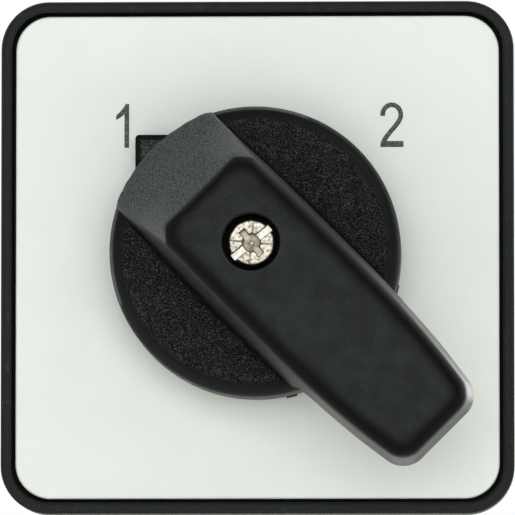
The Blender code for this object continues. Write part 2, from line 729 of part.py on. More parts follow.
def rear_cover():
    """Closes the rear chamber, carries the shaft's pivot and takes the bolt heads."""
    pivot_floor = PIVOT_REAR + 0.4
    body = prism(rounded_square(BODY_SIDE, BODY_CORNER), COVER_FRONT, COVER_REAR, bolt_holes())
    cuts = [prism(circle(PIVOT_RADIUS + 0.3, 16), COVER_FRONT - 1, pivot_floor)]
    for z in (-BOLT_HEIGHT, BOLT_HEIGHT):
        cuts.append(prism(circle(BOLT_HEAD_RADIUS + 0.35, 16, 0, z), BOLT_SEAT, COVER_REAR + 1))
    return solid("rear_cover", body, cuts=cuts)


def through_bolt():
    """Slotted cheese head in the rear cover, and a shank that reaches the nut in the flange."""
    front, slot_depth, slot_half = 3.2, 0.7, 0.4
    head_rear, head_front = COVER_REAR - 0.2, BOLT_SEAT + 0.2
    head, shank = BOLT_HEAD_RADIUS, BOLT_SHANK_RADIUS
    profile = [(0, front), (shank - 0.4, front), (shank, front + 0.4), (shank, head_front),
               (head, head_front), (head, head_rear - 0.4), (head - 0.4, head_rear), (0, head_rear)]
    slot = box(-3.5, 3.5, head_rear - slot_depth, head_rear + 1, -slot_half, slot_half)
    return solid("through_bolt", turned(profile, 14), cuts=[slot])


def bolt_nut():
    body = prism(circle(NUT_RADIUS, 6), FLANGE_FRONT + 0.4, 4.7,
                 [circle(BOLT_SHANK_RADIUS + 0.15, 10)])
    return solid("bolt_nut", body)


# ---------------------------------------------------------------- assembly

def build_front(finish, panel):
    place("bezel_frame", bezel_frame(), finish["black_plastic"], panel)
    place("dial_plate", dial_plate(), finish["pale_plate"], panel)
    place("bezel_gasket", bezel_gasket(), finish["rubber"], panel)
    place("shaft_seal", shaft_seal(), finish["seal_rubber"], panel)
    screw = mounting_screw()
    for number, (x, z) in enumerate(corner_points(), start=1):
        place(f"mounting_screw_{number}", screw, finish["zinc_steel"], panel, (x, 0, z))


def build_rotor(finish, panel):
    axis = empty("turning_axis", panel)
    turn = (0, HANDLE_ANGLE, 0)
    place("handle", handle(), finish["knob_black"], axis, rotation=turn)
    place("handle_screw", handle_screw(), finish["nickel_steel"], axis,
          rotation=(0, SCREW_ANGLE, 0))
    place("lock_washer", lock_washer(), finish["spring_steel"], axis)
    place("pointer_ring", pointer_ring(), finish["knob_black"], axis, rotation=turn)
    place("shaft", shaft(), finish["shaft_steel"], axis)
    place("star_wheel", star_wheel(), finish["natural_acetal"], axis)
    for number, name in enumerate(("cam_front", "cam_rear")):
        place(name, cam(name), finish["natural_acetal"], axis, (0, chamber_y(number), 0))


def build_latch(finish, panel):
    place("mounting_flange", mounting_flange(), finish["housing_grey"], panel)
    place("latch_housing", latch_housing(), finish["housing_grey"], panel)
    place("stop_segment", stop_segment(), finish["natural_acetal"], panel)
    spring = detent_spring()
    place("detent_spring_top", spring, finish["spring_steel"], panel)
    place("detent_spring_bottom", spring, finish["spring_steel"], panel,
          (0, STAR_FRONT + STAR_REAR, 0), (math.pi, 0, 0))


def chamber_y(number):
    return CHAMBER_FRONT + CHAMBER_MIDDLE + number * CHAMBER_PITCH


def build_contacts(finish, panel):
    shared = {
        "chamber": chamber(), "carrier": contact_carrier(), "bridge": contact_bridge(),
        "terminal": terminal(), "screw": terminal_screw(),
    }
    lift = {"left": 0.0, "right": CAM_HIGH - CAM_LOW}
    springs = {side: contact_spring(lift[side]) for side in lift}
    quarters = {
        "upper_left": (0, 0, 0), "lower_left": (math.pi, 0, 0),
        "lower_right": (0, math.pi, 0), "upper_right": (0, 0, math.pi),
    }
    for number, where in enumerate(("front", "rear")):
        middle = (0, chamber_y(number), 0)
        place(f"contact_chamber_{where}", shared["chamber"], finish["housing_grey"], panel, middle)
        for quarter, rotation in quarters.items():
            name = f"{where}_{quarter}"
            place(f"terminal_{name}", shared["terminal"], finish["brass"], panel, middle, rotation)
            place(f"terminal_screw_{name}", shared["screw"], finish["zinc_steel"], panel, middle,
                  rotation)
        for side, turn in (("left", 0.0), ("right", math.pi)):
            name = f"{where}_{side}"
            slide = empty(f"slide_{name}", panel, (lift[side], chamber_y(number), 0))
            rotation = (0, 0, turn)
            place(f"contact_carrier_{name}", shared["carrier"], finish["carrier_red"], slide,
                  rotation=rotation)
            place(f"contact_bridge_{name}", shared["bridge"], finish["brass"], slide,
                  rotation=rotation)
            place(f"contact_spring_{name}", springs[side], finish["spring_steel"], panel, middle,
                  rotation)


def build_rear(finish, panel):
    place("rear_cover", rear_cover(), finish["housing_grey"], panel)
    bolt = through_bolt()
    nut = bolt_nut()
    for where, z in (("top", BOLT_HEIGHT), ("bottom", -BOLT_HEIGHT)):
        place(f"through_bolt_{where}", bolt, finish["zinc_steel"], panel, (0, 0, z))
        place(f"bolt_nut_{where}", nut, finish["zinc_steel"], panel, (0, 0, z))


def finishes():
    return {
        "black_plastic": material("black_plastic", (0.022, 0.025, 0.023), 0.55),
        "knob_black": material("knob_black", (0.024, 0.027, 0.026), 0.6),
        "pale_plate": material("pale_plate", (0.80, 0.84, 0.77), 0.45),
        "rubber": material("rubber", (0.02, 0.02, 0.02), 0.85),
        "seal_rubber": material("seal_rubber", (0.02, 0.02, 0.02), 0.7),
        "zinc_steel": material("zinc_steel", (0.62, 0.62, 0.60), 0.35, 1.0),
        "nickel_steel": material("nickel_steel", (0.68, 0.66, 0.55), 0.3, 1.0),
        "spring_steel": material("spring_steel", (0.45, 0.45, 0.44), 0.35, 1.0),
        "shaft_steel": material("shaft_steel", (0.55, 0.55, 0.54), 0.4, 1.0),
        "housing_grey": material("housing_grey", (0.05, 0.052, 0.055), 0.6),
        "natural_acetal": material("natural_acetal", (0.75, 0.74, 0.70), 0.45),
        "carrier_red": material("carrier_red", (0.35, 0.05, 0.04), 0.5),
        "brass": material("brass", (0.70, 0.50, 0.22), 0.35, 1.0),
    }


def build_switch():
    clear_scene()
    finish = finishes()
    panel = empty("panel_plane", location=(0, -COVER_REAR, 0))
    build_front(finish, panel)
    build_rotor(finish, panel)
    build_latch(finish, panel)
    build_contacts(finish, panel)
    build_rear(finish, panel)


build_switch()
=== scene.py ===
"""Looks of a two-position battery changeover switch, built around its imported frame.

Shapes are drawn in millimetres: x to the right, y as the depth behind the panel's front surface,
z up. finished() turns a drawn shape into metres and moves it from the panel's front surface to
the frame's origin.
"""

import json
import math

import bmesh
import bpy
from mathutils import Matrix, Vector

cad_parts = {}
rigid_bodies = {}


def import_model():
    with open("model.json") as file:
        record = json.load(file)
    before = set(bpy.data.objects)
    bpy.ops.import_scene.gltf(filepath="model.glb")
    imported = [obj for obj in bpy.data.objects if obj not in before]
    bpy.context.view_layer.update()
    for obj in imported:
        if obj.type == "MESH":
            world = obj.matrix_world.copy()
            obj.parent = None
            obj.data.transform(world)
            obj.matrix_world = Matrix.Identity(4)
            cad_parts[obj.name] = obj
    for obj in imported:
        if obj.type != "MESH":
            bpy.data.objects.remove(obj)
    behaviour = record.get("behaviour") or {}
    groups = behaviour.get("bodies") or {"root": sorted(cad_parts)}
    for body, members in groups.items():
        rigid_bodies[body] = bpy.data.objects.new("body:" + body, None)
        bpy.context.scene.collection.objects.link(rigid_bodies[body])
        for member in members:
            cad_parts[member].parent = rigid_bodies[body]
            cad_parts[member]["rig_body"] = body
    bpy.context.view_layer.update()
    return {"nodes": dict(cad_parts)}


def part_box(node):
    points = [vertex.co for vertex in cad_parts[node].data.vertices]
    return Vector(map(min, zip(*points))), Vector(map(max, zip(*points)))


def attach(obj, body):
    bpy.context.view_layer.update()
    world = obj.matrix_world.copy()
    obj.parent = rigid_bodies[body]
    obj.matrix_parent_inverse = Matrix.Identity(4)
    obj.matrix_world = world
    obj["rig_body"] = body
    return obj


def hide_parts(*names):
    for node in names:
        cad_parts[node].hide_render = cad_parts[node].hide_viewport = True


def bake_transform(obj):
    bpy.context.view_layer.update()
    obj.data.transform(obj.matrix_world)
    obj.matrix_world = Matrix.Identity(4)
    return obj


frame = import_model()

MM = 0.001
PANEL_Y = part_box("bezel_gasket")[1].y


def depth(node, end):
    """How far behind the panel's front surface a node begins (end 0) or stops (end 1)."""
    return (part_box(node)[end].y - PANEL_Y) / MM


def width(node):
    low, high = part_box(node)
    return (high.x - low.x) / MM


def middle(node):
    """The middle of a node's box, in the drawing's millimetres."""
    low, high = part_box(node)
    return ((low + high) / 2 - Vector((0, PANEL_Y, 0))) / MM


# Front plate
PLATE_SIDE = width("bezel_frame")
PLATE_CORNER = 4.5
BEZEL_FRONT = depth("bezel_frame", 0)
BEZEL_REAR = depth("bezel_frame", 1)
BEZEL_LEDGE = BEZEL_FRONT + 1.8
BEZEL_FLOOR = BEZEL_FRONT + 3.4
BEZEL_LIP = 1.05
INSERT_SIDE = width("dial_plate")
INSERT_CORNER = 3.3
INSERT_FRONT = depth("dial_plate", 0)
INSERT_REAR = depth("dial_plate", 1)

# Handle, drawn with its grip along +X
HANDLE_ANGLE = math.radians(45.0)
DISC_RADIUS = 13.5
DISC_REAR = depth("handle", 1)
DISC_FRONT = DISC_REAR - 5.9
DISC_FILLET = 1.2
DISC_DISH = 0.45
GRIP_FRONT = depth("handle", 0)
GRIP_ARM_REAR = GRIP_FRONT + 6.0
GRIP_TIP = 24.0
GRIP_TIP_DRAFT = 0.75
GRIP_TIP_CORNER = 1.9
GRIP_WIDEST_AT = 4.0
GRIP_FRONT_WIDTH = 11.1
GRIP_ARM_WIDTH = 12.6
GRIP_BASE_WIDTH = 13.1
GRIP_TAPER = 0.00032
GRIP_TAPER_BEHIND = 11.7
GRIP_EDGE = 2.4
RAMP_TOP = -5.9
RAMP_FOOT = -13.3
RAMP_LOW = DISC_FRONT - 0.5
RAMP_EDGE = 2.4
RAMP_CORNER = 1.3
RAMP_TOP_CORNER = 2.6
RAMP_CORNER_DEPTH = 6.0
ARM_ROOT = 12.9
RIM_LIMIT = DISC_RADIUS - 0.12
GRIP_BURIED = 2.2
COUNTERBORE_RADIUS = 2.6
COUNTERBORE_FLOOR = GRIP_FRONT + 4.5
SCREW_HOLE_RADIUS = 1.8
SOCKET_SIDE = 6.5

# Handle screw
SCREW_ANGLE = math.radians(51.0)
HEAD_FRONT = depth("handle_screw", 0)
HEAD_RADIUS = 2.2

# Pointer ring
POINTER_FRONT = depth("pointer_ring", 0)
POINTER_REAR = depth("pointer_ring", 1)
POINTER_RING_RADIUS = 13.0
POINTER_REACH = 15.9
LUG_REACH = 13.55
LUG_ANGLE = math.radians(31.0)
POINTER_SIDE = POINTER_REACH * math.sqrt(0.5)
POINTER_NOSE = 0.35

# How much light the black mouldings mirror
PLASTIC_SHEEN = 0.03


# -------------------------------- outlines, as (x, z) points

def circle(radius, steps, x=0.0, z=0.0):
    turns = [2 * math.pi * i / steps for i in range(steps)]
    return [(x + radius * math.cos(a), z + radius * math.sin(a)) for a in turns]


def quarter(steps):
    """The angles of a quarter turn, from 0."""
    return [math.pi / 2 * i / steps for i in range(steps + 1)]


def rounded_square(side, corner, steps=16):
    points = []
    inset = side / 2 - corner
    for number in range(4):
        start = number * math.pi / 2
        x = inset * (1 if number in (0, 3) else -1)
        z = inset * (1 if number in (0, 1) else -1)
        for a in quarter(steps):
            points.append((x + corner * math.cos(start + a), z + corner * math.sin(start + a)))
    return points


def at_depth(outline, y):
    return [(x, y, z) for x, z in outline]


def smooth_step(value):
    value = min(max(value, 0.0), 1.0)
    return value * value * (3 - 2 * value)


# -------------------------------- closed shapes, in millimetres

def closed(bm):
    bmesh.ops.remove_doubles(bm, verts=bm.verts, dist=1e-5)
    bmesh.ops.recalc_face_normals(bm, faces=bm.faces)
    return bm


def join_rings(bm, rings):
    for near, far in zip(rings, rings[1:]):
        for i in range(len(near)):
            j = (i + 1) % len(near)
            bm.faces.new((near[i], near[j], far[j], far[i]))


def lofted(sections):
    bm = bmesh.new()
    rings = [[bm.verts.new(point) for point in section] for section in sections]
    join_rings(bm, rings)
    bm.faces.new(rings[0])
    bm.faces.new(rings[-1])
    return closed(bm)


def prism(outline, front, rear):
    return lofted([at_depth(outline, front), at_depth(outline, rear)])


def box(x0, x1, y0, y1, z0, z1):
    return prism([(x0, z0), (x1, z0), (x1, z1), (x0, z1)], y0, y1)


def stacked_squares(side, corner, profile):
    """Rounded squares lofted together. The profile has how far in each one is, and its depth."""
    return lofted([at_depth(rounded_square(side - 2 * inset, corner - inset), y)
                   for inset, y in profile])


def turned(profile, steps):
    """A (radius, y) profile turned about the Y axis. It starts and ends on the axis, or is a ring."""
    bm = bmesh.new()
    corners = [bm.verts.new((radius, y, 0)) for radius, y in profile]
    pairs = list(zip(corners, corners[1:]))
    if profile[0][0] > 0:
        pairs.append((corners[-1], corners[0]))
    edges = [bm.edges.new(pair) for pair in pairs]
    bmesh.ops.spin(bm, geom=corners + edges, cent=(0, 0, 0), axis=(0, 1, 0), dvec=(0, 0, 0),
                   angle=2 * math.pi, steps=steps, use_merge=True)
    return closed(bm)


def moved(bm, matrix):
    bmesh.ops.transform(bm, matrix=matrix, verts=bm.verts)
    return closed(bm)


def arc(centre, radius, start, end, steps):
    """Points (radius from the axis, depth) along an arc about centre."""
    angles = [start + (end - start) * i / steps for i in range(steps + 1)]
    return [(centre[0] + radius * math.cos(a), centre[1] + radius * math.sin(a)) for a in angles]


def coil(radius, wire, start, end, turns, steps, sides):
    """A round wire wound about the X axis from x = start to x = end."""
    sections = []
    total = turns * steps
    for i in range(total + 1):
        a = 2 * math.pi * i / steps
        x = start + (end - start) * i / total
        ring = []
        for k in range(sides):
            b = 2 * math.pi * k / sides
            r = radius + wire * math.cos(b)
            ring.append((x + wire * math.sin(b), r * math.cos(a), r * math.sin(a)))
        sections.append(ring)
    return lofted(sections)


# -------------------------------- objects

def object_from(name, bm):
    mesh = bpy.data.meshes.new(name)
    bm.to_mesh(mesh)
    bm.free()
    piece = bpy.data.objects.new(name, mesh)
    bpy.context.scene.collection.objects.link(piece)
    return piece


def combined(name, base, joins=(), cuts=()):
    """The base with the joins added and the cuts taken away, still in millimetres."""
    piece = object_from(name, base)
    tools = [(shape, "UNION") for shape in joins] + [(shape, "DIFFERENCE") for shape in cuts]
    helpers = []
    for shape, operation in tools:
        helper = object_from(name + "_tool", shape)
        helpers.append(helper)
        modifier = piece.modifiers.new(operation.lower(), "BOOLEAN")
        modifier.object = helper
        modifier.operation = operation
        modifier.solver = "EXACT"
    graph = bpy.context.evaluated_depsgraph_get()
    mesh = bpy.data.meshes.new_from_object(piece.evaluated_get(graph))
    for helper in (piece, *helpers):
        bpy.data.objects.remove(helper)
    return mesh


def finished(name, mesh, finish, body, turn=0.0, sharp=38.0):
    """Turns a drawn mesh into a piece in the frame, which rides on a body."""
    to_frame = Matrix.Translation((0, PANEL_Y, 0)) @ Matrix.Rotation(turn, 4, "Y") @ Matrix.Scale(MM, 4)
    mesh.name = name
    mesh.transform(to_frame)
    mesh.shade_smooth()
    mesh.set_sharp_from_angle(angle=math.radians(sharp))
    mesh.materials.clear()
    mesh.materials.append(finish)
    piece = bpy.data.objects.new(name, mesh)
    bpy.context.scene.collection.objects.link(piece)
    weighted = piece.modifiers.new("flat_faces_stay_flat", "WEIGHTED_NORMAL")
    weighted.keep_sharp = True
    weighted.weight = 90
    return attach(piece, body)


def stand_in(node, how_made, mesh, finish, slot, body="housing", turn=0.0, sharp=38.0):
    """A finished piece that takes a CAD node's place, named after the node and how it was made."""
    piece = finished(f"{node}_{how_made}", mesh, finish[slot], body, turn, sharp)
    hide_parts(node)


# -------------------------------- material building blocks

class Finish:
    """A material whose inputs are built from nodes, with coordinates in millimetres."""

    def __init__(self, name):
        self.material = bpy.data.materials.new(name)
        self.material.use_nodes = True
        self.tree = self.material.node_tree
        self.surface = self.tree.nodes["Principled BSDF"]
        coordinates = self.tree.nodes.new("ShaderNodeTexCoord")
        self.place = self.vector("SCALE", coordinates.outputs["Object"], Scale=1 / MM)

    def node(self, kind, settings=None, **inputs):
        made = self.tree.nodes.new(kind)
        for key, value in (settings or {}).items():
            setattr(made, key, value)
        for key, value in inputs.items():
            self.feed(made.inputs[key.replace("_", " ")], value)
        return made

    def feed(self, socket, value):
        if isinstance(value, bpy.types.NodeSocket):
            self.tree.links.new(value, socket)
        elif isinstance(value, tuple) and len(value) == 3 and socket.type == "RGBA":
            socket.default_value = (*value, 1.0)
        else:
            socket.default_value = value

    def vector(self, operation, first, second=None, **inputs):
        made = self.node("ShaderNodeVectorMath", {"operation": operation}, **inputs)
        self.feed(made.inputs[0], first)
        if second is not None:
            self.feed(made.inputs[1], second)
        return made.outputs["Value" if operation == "DOT_PRODUCT" else "Vector"]

    def math(self, operation, first, second=0.0):
        made = self.node("ShaderNodeMath", {"operation": operation})
        self.feed(made.inputs[0], first)
        self.feed(made.inputs[1], second)
        return made.outputs[0]

    def plus(self, first, second):
        return self.math("ADD", first, second)

    def minus(self, first, second):
        return self.math("SUBTRACT", first, second)

    def times(self, first, second):
        return self.math("MULTIPLY", first, second)

    def away(self, first, second):
        """The distance from the origin of a point with these two coordinates."""
        squares = self.plus(self.math("POWER", first, 2.0), self.math("POWER", second, 2.0))
        return self.math("SQRT", squares)

    def fade(self, value, start, end, low=0.0, high=1.0):
        """Low where value is at start, high where it is at end, and smooth between."""
        made = self.node("ShaderNodeMapRange", {"interpolation_type": "SMOOTHSTEP"}, Value=value,
                         From_Min=start, From_Max=end, To_Min=low, To_Max=high)
        return made.outputs[0]

    def mix(self, share, first, second):
        made = self.node("ShaderNodeMix", {"data_type": "RGBA"})
        self.feed(made.inputs[0], share)
        self.feed(made.inputs[6], first)
        self.feed(made.inputs[7], second)
        return made.outputs[2]

    def noise(self, scale, detail=2.0, rough=0.5, place=None):
        made = self.node("ShaderNodeTexNoise", Vector=place or self.place, Scale=scale, Detail=detail,
                         Roughness=rough)
        return made.outputs["Fac"]

    def cells(self, scale):
        made = self.node("ShaderNodeTexVoronoi", Vector=self.place, Scale=scale)
        return made.outputs["Distance"]

    def specks(self, scale, size):
        """Small scattered spots: 1 on a spot, 0 elsewhere."""
        return self.fade(self.cells(scale), size, size * 0.4)

    def bumps(self, height, rise, strength=1.0, normal=None):
        """Rise is the height in millimetres of a bump that goes from 0 to 1."""
        made = self.node("ShaderNodeBump", Height=height, Strength=strength, Distance=rise * MM)
        if normal is not None:
            self.feed(made.inputs["Normal"], normal)
        return made.outputs["Normal"]

    def axes(self):
        """The x, y and z of the surface point."""
        split = self.node("ShaderNodeSeparateXYZ", Vector=self.place)
        return split.outputs

    def facing(self, direction):
        """How much the surface faces a direction: 1 straight at it, -1 straight away."""
        geometry = self.node("ShaderNodeNewGeometry")
        return self.vector("DOT_PRODUCT", geometry.outputs["True Normal"], direction)

    def set(self, **inputs):
        for key, value in inputs.items():
            self.feed(self.surface.inputs[key.replace("_", " ")], value)
        return self.material


def coloured_noise(finish, base, spread, scale, detail=3.0):
    """The base colour, made lighter and darker by a share of itself in soft patches."""
    light = tuple(min(1.0, part * (1 + spread)) for part in base)
    dark = tuple(part * (1 - spread) for part in base)
    return finish.mix(finish.fade(finish.noise(scale, detail), 0.3, 0.7), dark, light)


# -------------------------------- materials

def dotted_grain(finish, dark, light, painted_glint):
    """Moulded-in leather grain: dark pits, lighter tops, and a few bright points that are painted glints.
    """
    tops = finish.fade(finish.noise(7.5, 2.0, 0.6), 0.44, 0.64)
    patches = finish.fade(finish.noise(0.8, 2.0), 0.3, 0.7, 0.60, 1.0)
    colour = finish.mix(finish.times(tops, patches), dark, light)
    # The bright points are painted glints, not specks in the moulding.
    points = finish.fade(finish.cells(5.4), 0.27, 0.10)
    return finish.mix(finish.times(points, patches), colour, painted_glint)


def knob_zones(finish):
    """Where each kind of surface is on the handle at rest, as masks from 0 to 1."""
    x, depth_y, z = finish.axes()
    slant = math.sqrt(0.5)
    along = finish.times(finish.minus(x, z), slant)
    across = finish.math("ABSOLUTE", finish.times(finish.plus(x, z), slant))
    from_axis = finish.away(along, across)
    front = finish.facing((0.0, -1.0, 0.0))
    disc_front = PANEL_Y / MM + DISC_FRONT

    off_widest = finish.math("ABSOLUTE", finish.minus(along, GRIP_WIDEST_AT))
    narrowing = finish.times(finish.math("POWER", off_widest, 3.0), GRIP_TAPER / 2)
    beside_grip = finish.minus(across, finish.minus(GRIP_BASE_WIDTH / 2, narrowing))
    on_disc = finish.fade(depth_y, disc_front - 0.6, disc_front - 0.2)
    inside_rim = finish.fade(from_axis, DISC_RADIUS - 0.95, DISC_RADIUS - 1.45)
    open_disc = finish.times(inside_rim, finish.fade(beside_grip, 0.05, 0.45))
    flat_disc = finish.times(on_disc, open_disc)
    on_disc_side = finish.fade(depth_y, disc_front - 0.3, disc_front)
    at_rim = finish.fade(from_axis, DISC_RADIUS - 1.5, DISC_RADIUS - 0.4)
    above_disc = finish.fade(depth_y, disc_front - 0.5, disc_front - 1.5)
    ramp_edge = finish.minus(along, finish.fade(across, 4.2, 6.0, 0.0, 1.4))
    on_ramp = finish.fade(ramp_edge, RAMP_TOP - 0.60, RAMP_TOP - 0.95)
    sloped = finish.times(finish.fade(front, 0.3, 0.42), finish.fade(front, 0.75, 0.58))
    return {
        "disc": finish.times(flat_disc, finish.fade(front, 0.85, 0.98)),
        "rim": finish.times(on_disc_side, at_rim),
        "grip": finish.times(finish.fade(front, 0.74, 1.0), above_disc),
        "ramp": finish.times(on_ramp, sloped),
        "paler_share": finish.times(finish.fade(across, 2.0, 5.6), finish.fade(along, -10.8, -7.6)),
        "wall": finish.fade(front, 0.45, 0.20),
        "over_plate": finish.fade(along, 11.5, 15.5),
    }


def knob_colour(finish, zones, fine):
    """Pitted grain on the disc, a plain grip, a rim with a painted highlight, and a mottled ramp that is
    partly painted light and paler along its sides.
    """
    grained = dotted_grain(finish, (0.0036, 0.0041, 0.0039), (0.038, 0.0425, 0.041),
                           (0.150, 0.158, 0.155))
    grip = coloured_noise(finish, (0.0182, 0.0213, 0.0198), 0.20, 0.55, 5.0)
    grip = finish.mix(finish.fade(fine, 0.35, 0.68, 0.0, 0.40), grip, (0.030, 0.034, 0.032))
    # The ramp's mottle is its grain; its tone, far lighter than the grip's, is also painted light for a
    # face that tilts up towards the light.
    mottle = finish.fade(finish.noise(6.8, 2.0, 0.6), 0.36, 0.66)
    ramp = finish.mix(mottle, (0.024, 0.027, 0.026), (0.088, 0.098, 0.094))
    # Lighter still along the ramp's sides, towards its top edge.
    ramp = finish.mix(finish.times(zones["paler_share"], 0.45), ramp, (0.115, 0.125, 0.122))
    # The rim's fillet takes a lighter black than the other smooth borders: a painted highlight.
    colour = finish.mix(zones["rim"], (0.0040, 0.0045, 0.0043), (0.0085, 0.0098, 0.0098))
    colour = finish.mix(zones["disc"], colour, grained)
    colour = finish.mix(zones["grip"], colour, grip)
    return finish.mix(zones["ramp"], colour, ramp)


def knob_material():
    """Black thermoset: grain on the disc and the ramp, a finer one on the grip, smooth borders."""
    finish = Finish("knob_black")
    zones = knob_zones(finish)
    fine = finish.noise(5.5, 3.0, 0.65)
    coarse = finish.noise(2.4, 4.0, 0.6)
    grain = finish.plus(finish.times(fine, 0.75), finish.times(coarse, 0.5))
    grain_depth, rough = 0.0, 0.30
    for zone, deeper, rougher in (("disc", 1.0, 0.22), ("ramp", 0.42, 0.26), ("grip", 0.16, 0.28)):
        grain_depth = finish.plus(grain_depth, finish.times(zones[zone], deeper))
        rough = finish.plus(rough, finish.times(zones[zone], rougher))
    rough = finish.plus(rough, finish.times(finish.noise(1.3, 3.0), 0.06))
    sheen = finish.plus(PLASTIC_SHEEN, finish.times(zones["rim"], 0.06))
    # The side walls mirror most, above all where the arm stands over the pale plate.
    wall_sheen = finish.plus(0.20, finish.times(zones["over_plate"], 0.10))
    wall_rough = finish.minus(0.14, finish.times(zones["over_plate"], 0.13))
    sheen = finish.plus(sheen, finish.times(zones["wall"], wall_sheen))
    rough = finish.plus(rough, finish.times(zones["wall"], wall_rough))
    return finish.set(Base_Color=knob_colour(finish, zones, fine), Roughness=rough,
                      Normal=finish.bumps(finish.times(grain, grain_depth), 0.10),
                      Specular_IOR_Level=sheen)


def pointer_material():
    """The same black, grained on its front face inside a smooth border."""
    finish = Finish("pointer_black")
    x, _, z = finish.axes()
    off_axis = finish.math("MAXIMUM", finish.math("ABSOLUTE", x), finish.math("ABSOLUTE", z))
    border = finish.minus(POINTER_SIDE, off_axis)
    inside = finish.fade(border, 0.30, 0.55)
    front = finish.times(finish.fade(finish.facing((0.0, -1.0, 0.0)), 0.9, 0.995), inside)
    grained = dotted_grain(finish, (0.0120, 0.0132, 0.0128), (0.120, 0.130, 0.126),
                           (0.200, 0.210, 0.205))
    colour = finish.mix(front, (0.0060, 0.0066, 0.0064), grained)
    rough = finish.plus(0.4, finish.times(front, 0.15))
    normal = finish.bumps(finish.times(finish.noise(5.0, 3.0, 0.65), front), 0.07)
    return finish.set(Base_Color=colour, Roughness=rough, Normal=normal,
                      Specular_IOR_Level=PLASTIC_SHEEN)


def bezel_material():
    """Satin black moulding with faint handling marks along its ridge, and painted shade on the surfaces
    below its crest.
    """
    finish = Finish("bezel_black")
    stretched = finish.vector("MULTIPLY", finish.place, (0.35, 1.0, 0.35))
    marks = finish.fade(finish.noise(3.0, 6.0, 0.7, stretched), 0.56, 0.72)
    bezel_front = PANEL_Y / MM + BEZEL_FRONT
    ridge = finish.fade(finish.axes()[1], bezel_front + 0.6, bezel_front + 0.1)
    top = finish.mix(marks, (0.0172, 0.0198, 0.0184), (0.036, 0.040, 0.037))
    # Surfaces deeper than the crest get a darker black: painted shade on the frame's sides and inner
    # wall.
    colour = finish.mix(ridge, (0.0060, 0.0068, 0.0064), top)
    fine = finish.noise(7.0, 2.0)
    rough = finish.plus(0.42, finish.times(marks, 0.14))
    return finish.set(Base_Color=colour, Roughness=rough, Normal=finish.bumps(fine, 0.02),
                      Specular_IOR_Level=PLASTIC_SHEEN)


def dial_material():
    """Off-white plate with a silky surface, faint patches and a few specks of dust."""
    finish = Finish("dial_insert")
    colour = coloured_noise(finish, (0.694, 0.734, 0.680), 0.012, 0.22, 4.0)
    dust = finish.times(finish.specks(0.75, 0.07), 0.35)
    colour = finish.mix(dust, colour, (0.62, 0.66, 0.60))
    fine = finish.noise(3.2, 3.0)
    return finish.set(Base_Color=colour, Roughness=0.42, Normal=finish.bumps(fine, 0.012),
                      Specular_IOR_Level=0.35)


def ink_material():
    finish = Finish("dial_ink")
    speckle = finish.fade(finish.noise(5.5, 2.0, 0.6), 0.42, 0.66)
    colour = finish.mix(speckle, (0.010, 0.012, 0.011), (0.075, 0.081, 0.078))
    return finish.set(Base_Color=colour, Roughness=0.55)


def rubber_material():
    finish = Finish("gasket_rubber")
    colour = coloured_noise(finish, (0.022, 0.022, 0.023), 0.25, 0.8)
    fine = finish.noise(4.0, 4.0, 0.6)
    return finish.set(Base_Color=colour, Roughness=0.78, Normal=finish.bumps(fine, 0.03))


def housing_material():
    """Fine-grained thermoset behind the panel, with a few paler scuffs."""
    finish = Finish("housing_black")
    colour = coloured_noise(finish, (0.030, 0.031, 0.033), 0.14, 0.5, 5.0)
    scuffs = finish.fade(finish.noise(1.1, 7.0, 0.75), 0.60, 0.74)
    colour = finish.mix(finish.times(scuffs, 0.35), colour, (0.065, 0.067, 0.070))
    fine = finish.noise(4.5, 3.0, 0.6)
    rough = finish.fade(finish.noise(0.9, 4.0), 0.3, 0.7, 0.46, 0.62)
    return finish.set(Base_Color=colour, Roughness=rough, Normal=finish.bumps(fine, 0.035))


def carrier_material():
    finish = Finish("carrier_plastic")
    colour = coloured_noise(finish, (0.20, 0.045, 0.030), 0.18, 1.1, 5.0)
    fine = finish.noise(4.0, 3.0)
    return finish.set(Base_Color=colour, Roughness=0.5, Normal=finish.bumps(fine, 0.02))


def acetal_material():
    finish = Finish("natural_acetal")
    colour = coloured_noise(finish, (0.78, 0.765, 0.70), 0.03, 0.5)
    fine = finish.noise(2.5, 3.0)
    return finish.set(Base_Color=colour, Roughness=0.38, Subsurface_Weight=0.15,
                      Subsurface_Scale=1.2 * MM, Normal=finish.bumps(fine, 0.01))


def nickel_material():
    """Nickel plate over a struck screw head: mottled face, bright slot floor, yellow-grey hollows."""
    finish = Finish("nickel_screw")
    x, depth_y, z = finish.axes()
    head = PANEL_Y / MM + HEAD_FRONT
    from_axis = finish.away(x, z)
    in_slot = finish.fade(depth_y, head + 0.30, head + 0.42)
    deep = finish.fade(depth_y, head + 0.60, head + 0.72)
    paler_share = finish.fade(finish.noise(3.4, 4.0, 0.65), 0.36, 0.62)
    face = finish.mix(paler_share, (0.155, 0.150, 0.118), (0.42, 0.405, 0.345))
    floor = finish.mix(paler_share, (0.33, 0.325, 0.285), (0.41, 0.405, 0.365))
    beige = finish.mix(finish.fade(finish.noise(3.0, 3.0), 0.3, 0.7), (0.32, 0.292, 0.22),
                       (0.50, 0.465, 0.37))
    colour = finish.mix(in_slot, face, floor)
    colour = finish.mix(deep, colour, beige)
    skirt = finish.fade(from_axis, HEAD_RADIUS - 0.16, HEAD_RADIUS - 0.04, 0.0, 0.8)
    skirt = finish.times(skirt, finish.minus(1.0, in_slot))
    colour = finish.mix(skirt, colour, (0.20, 0.17, 0.11))
    dents = finish.plus(finish.noise(2.2, 3.0, 0.55), finish.times(finish.cells(3.2), 0.4))
    rough = finish.plus(0.36, finish.times(deep, 0.14))
    return finish.set(Base_Color=colour, Metallic=1.0, Roughness=rough, Normal=finish.bumps(dents, 0.045))


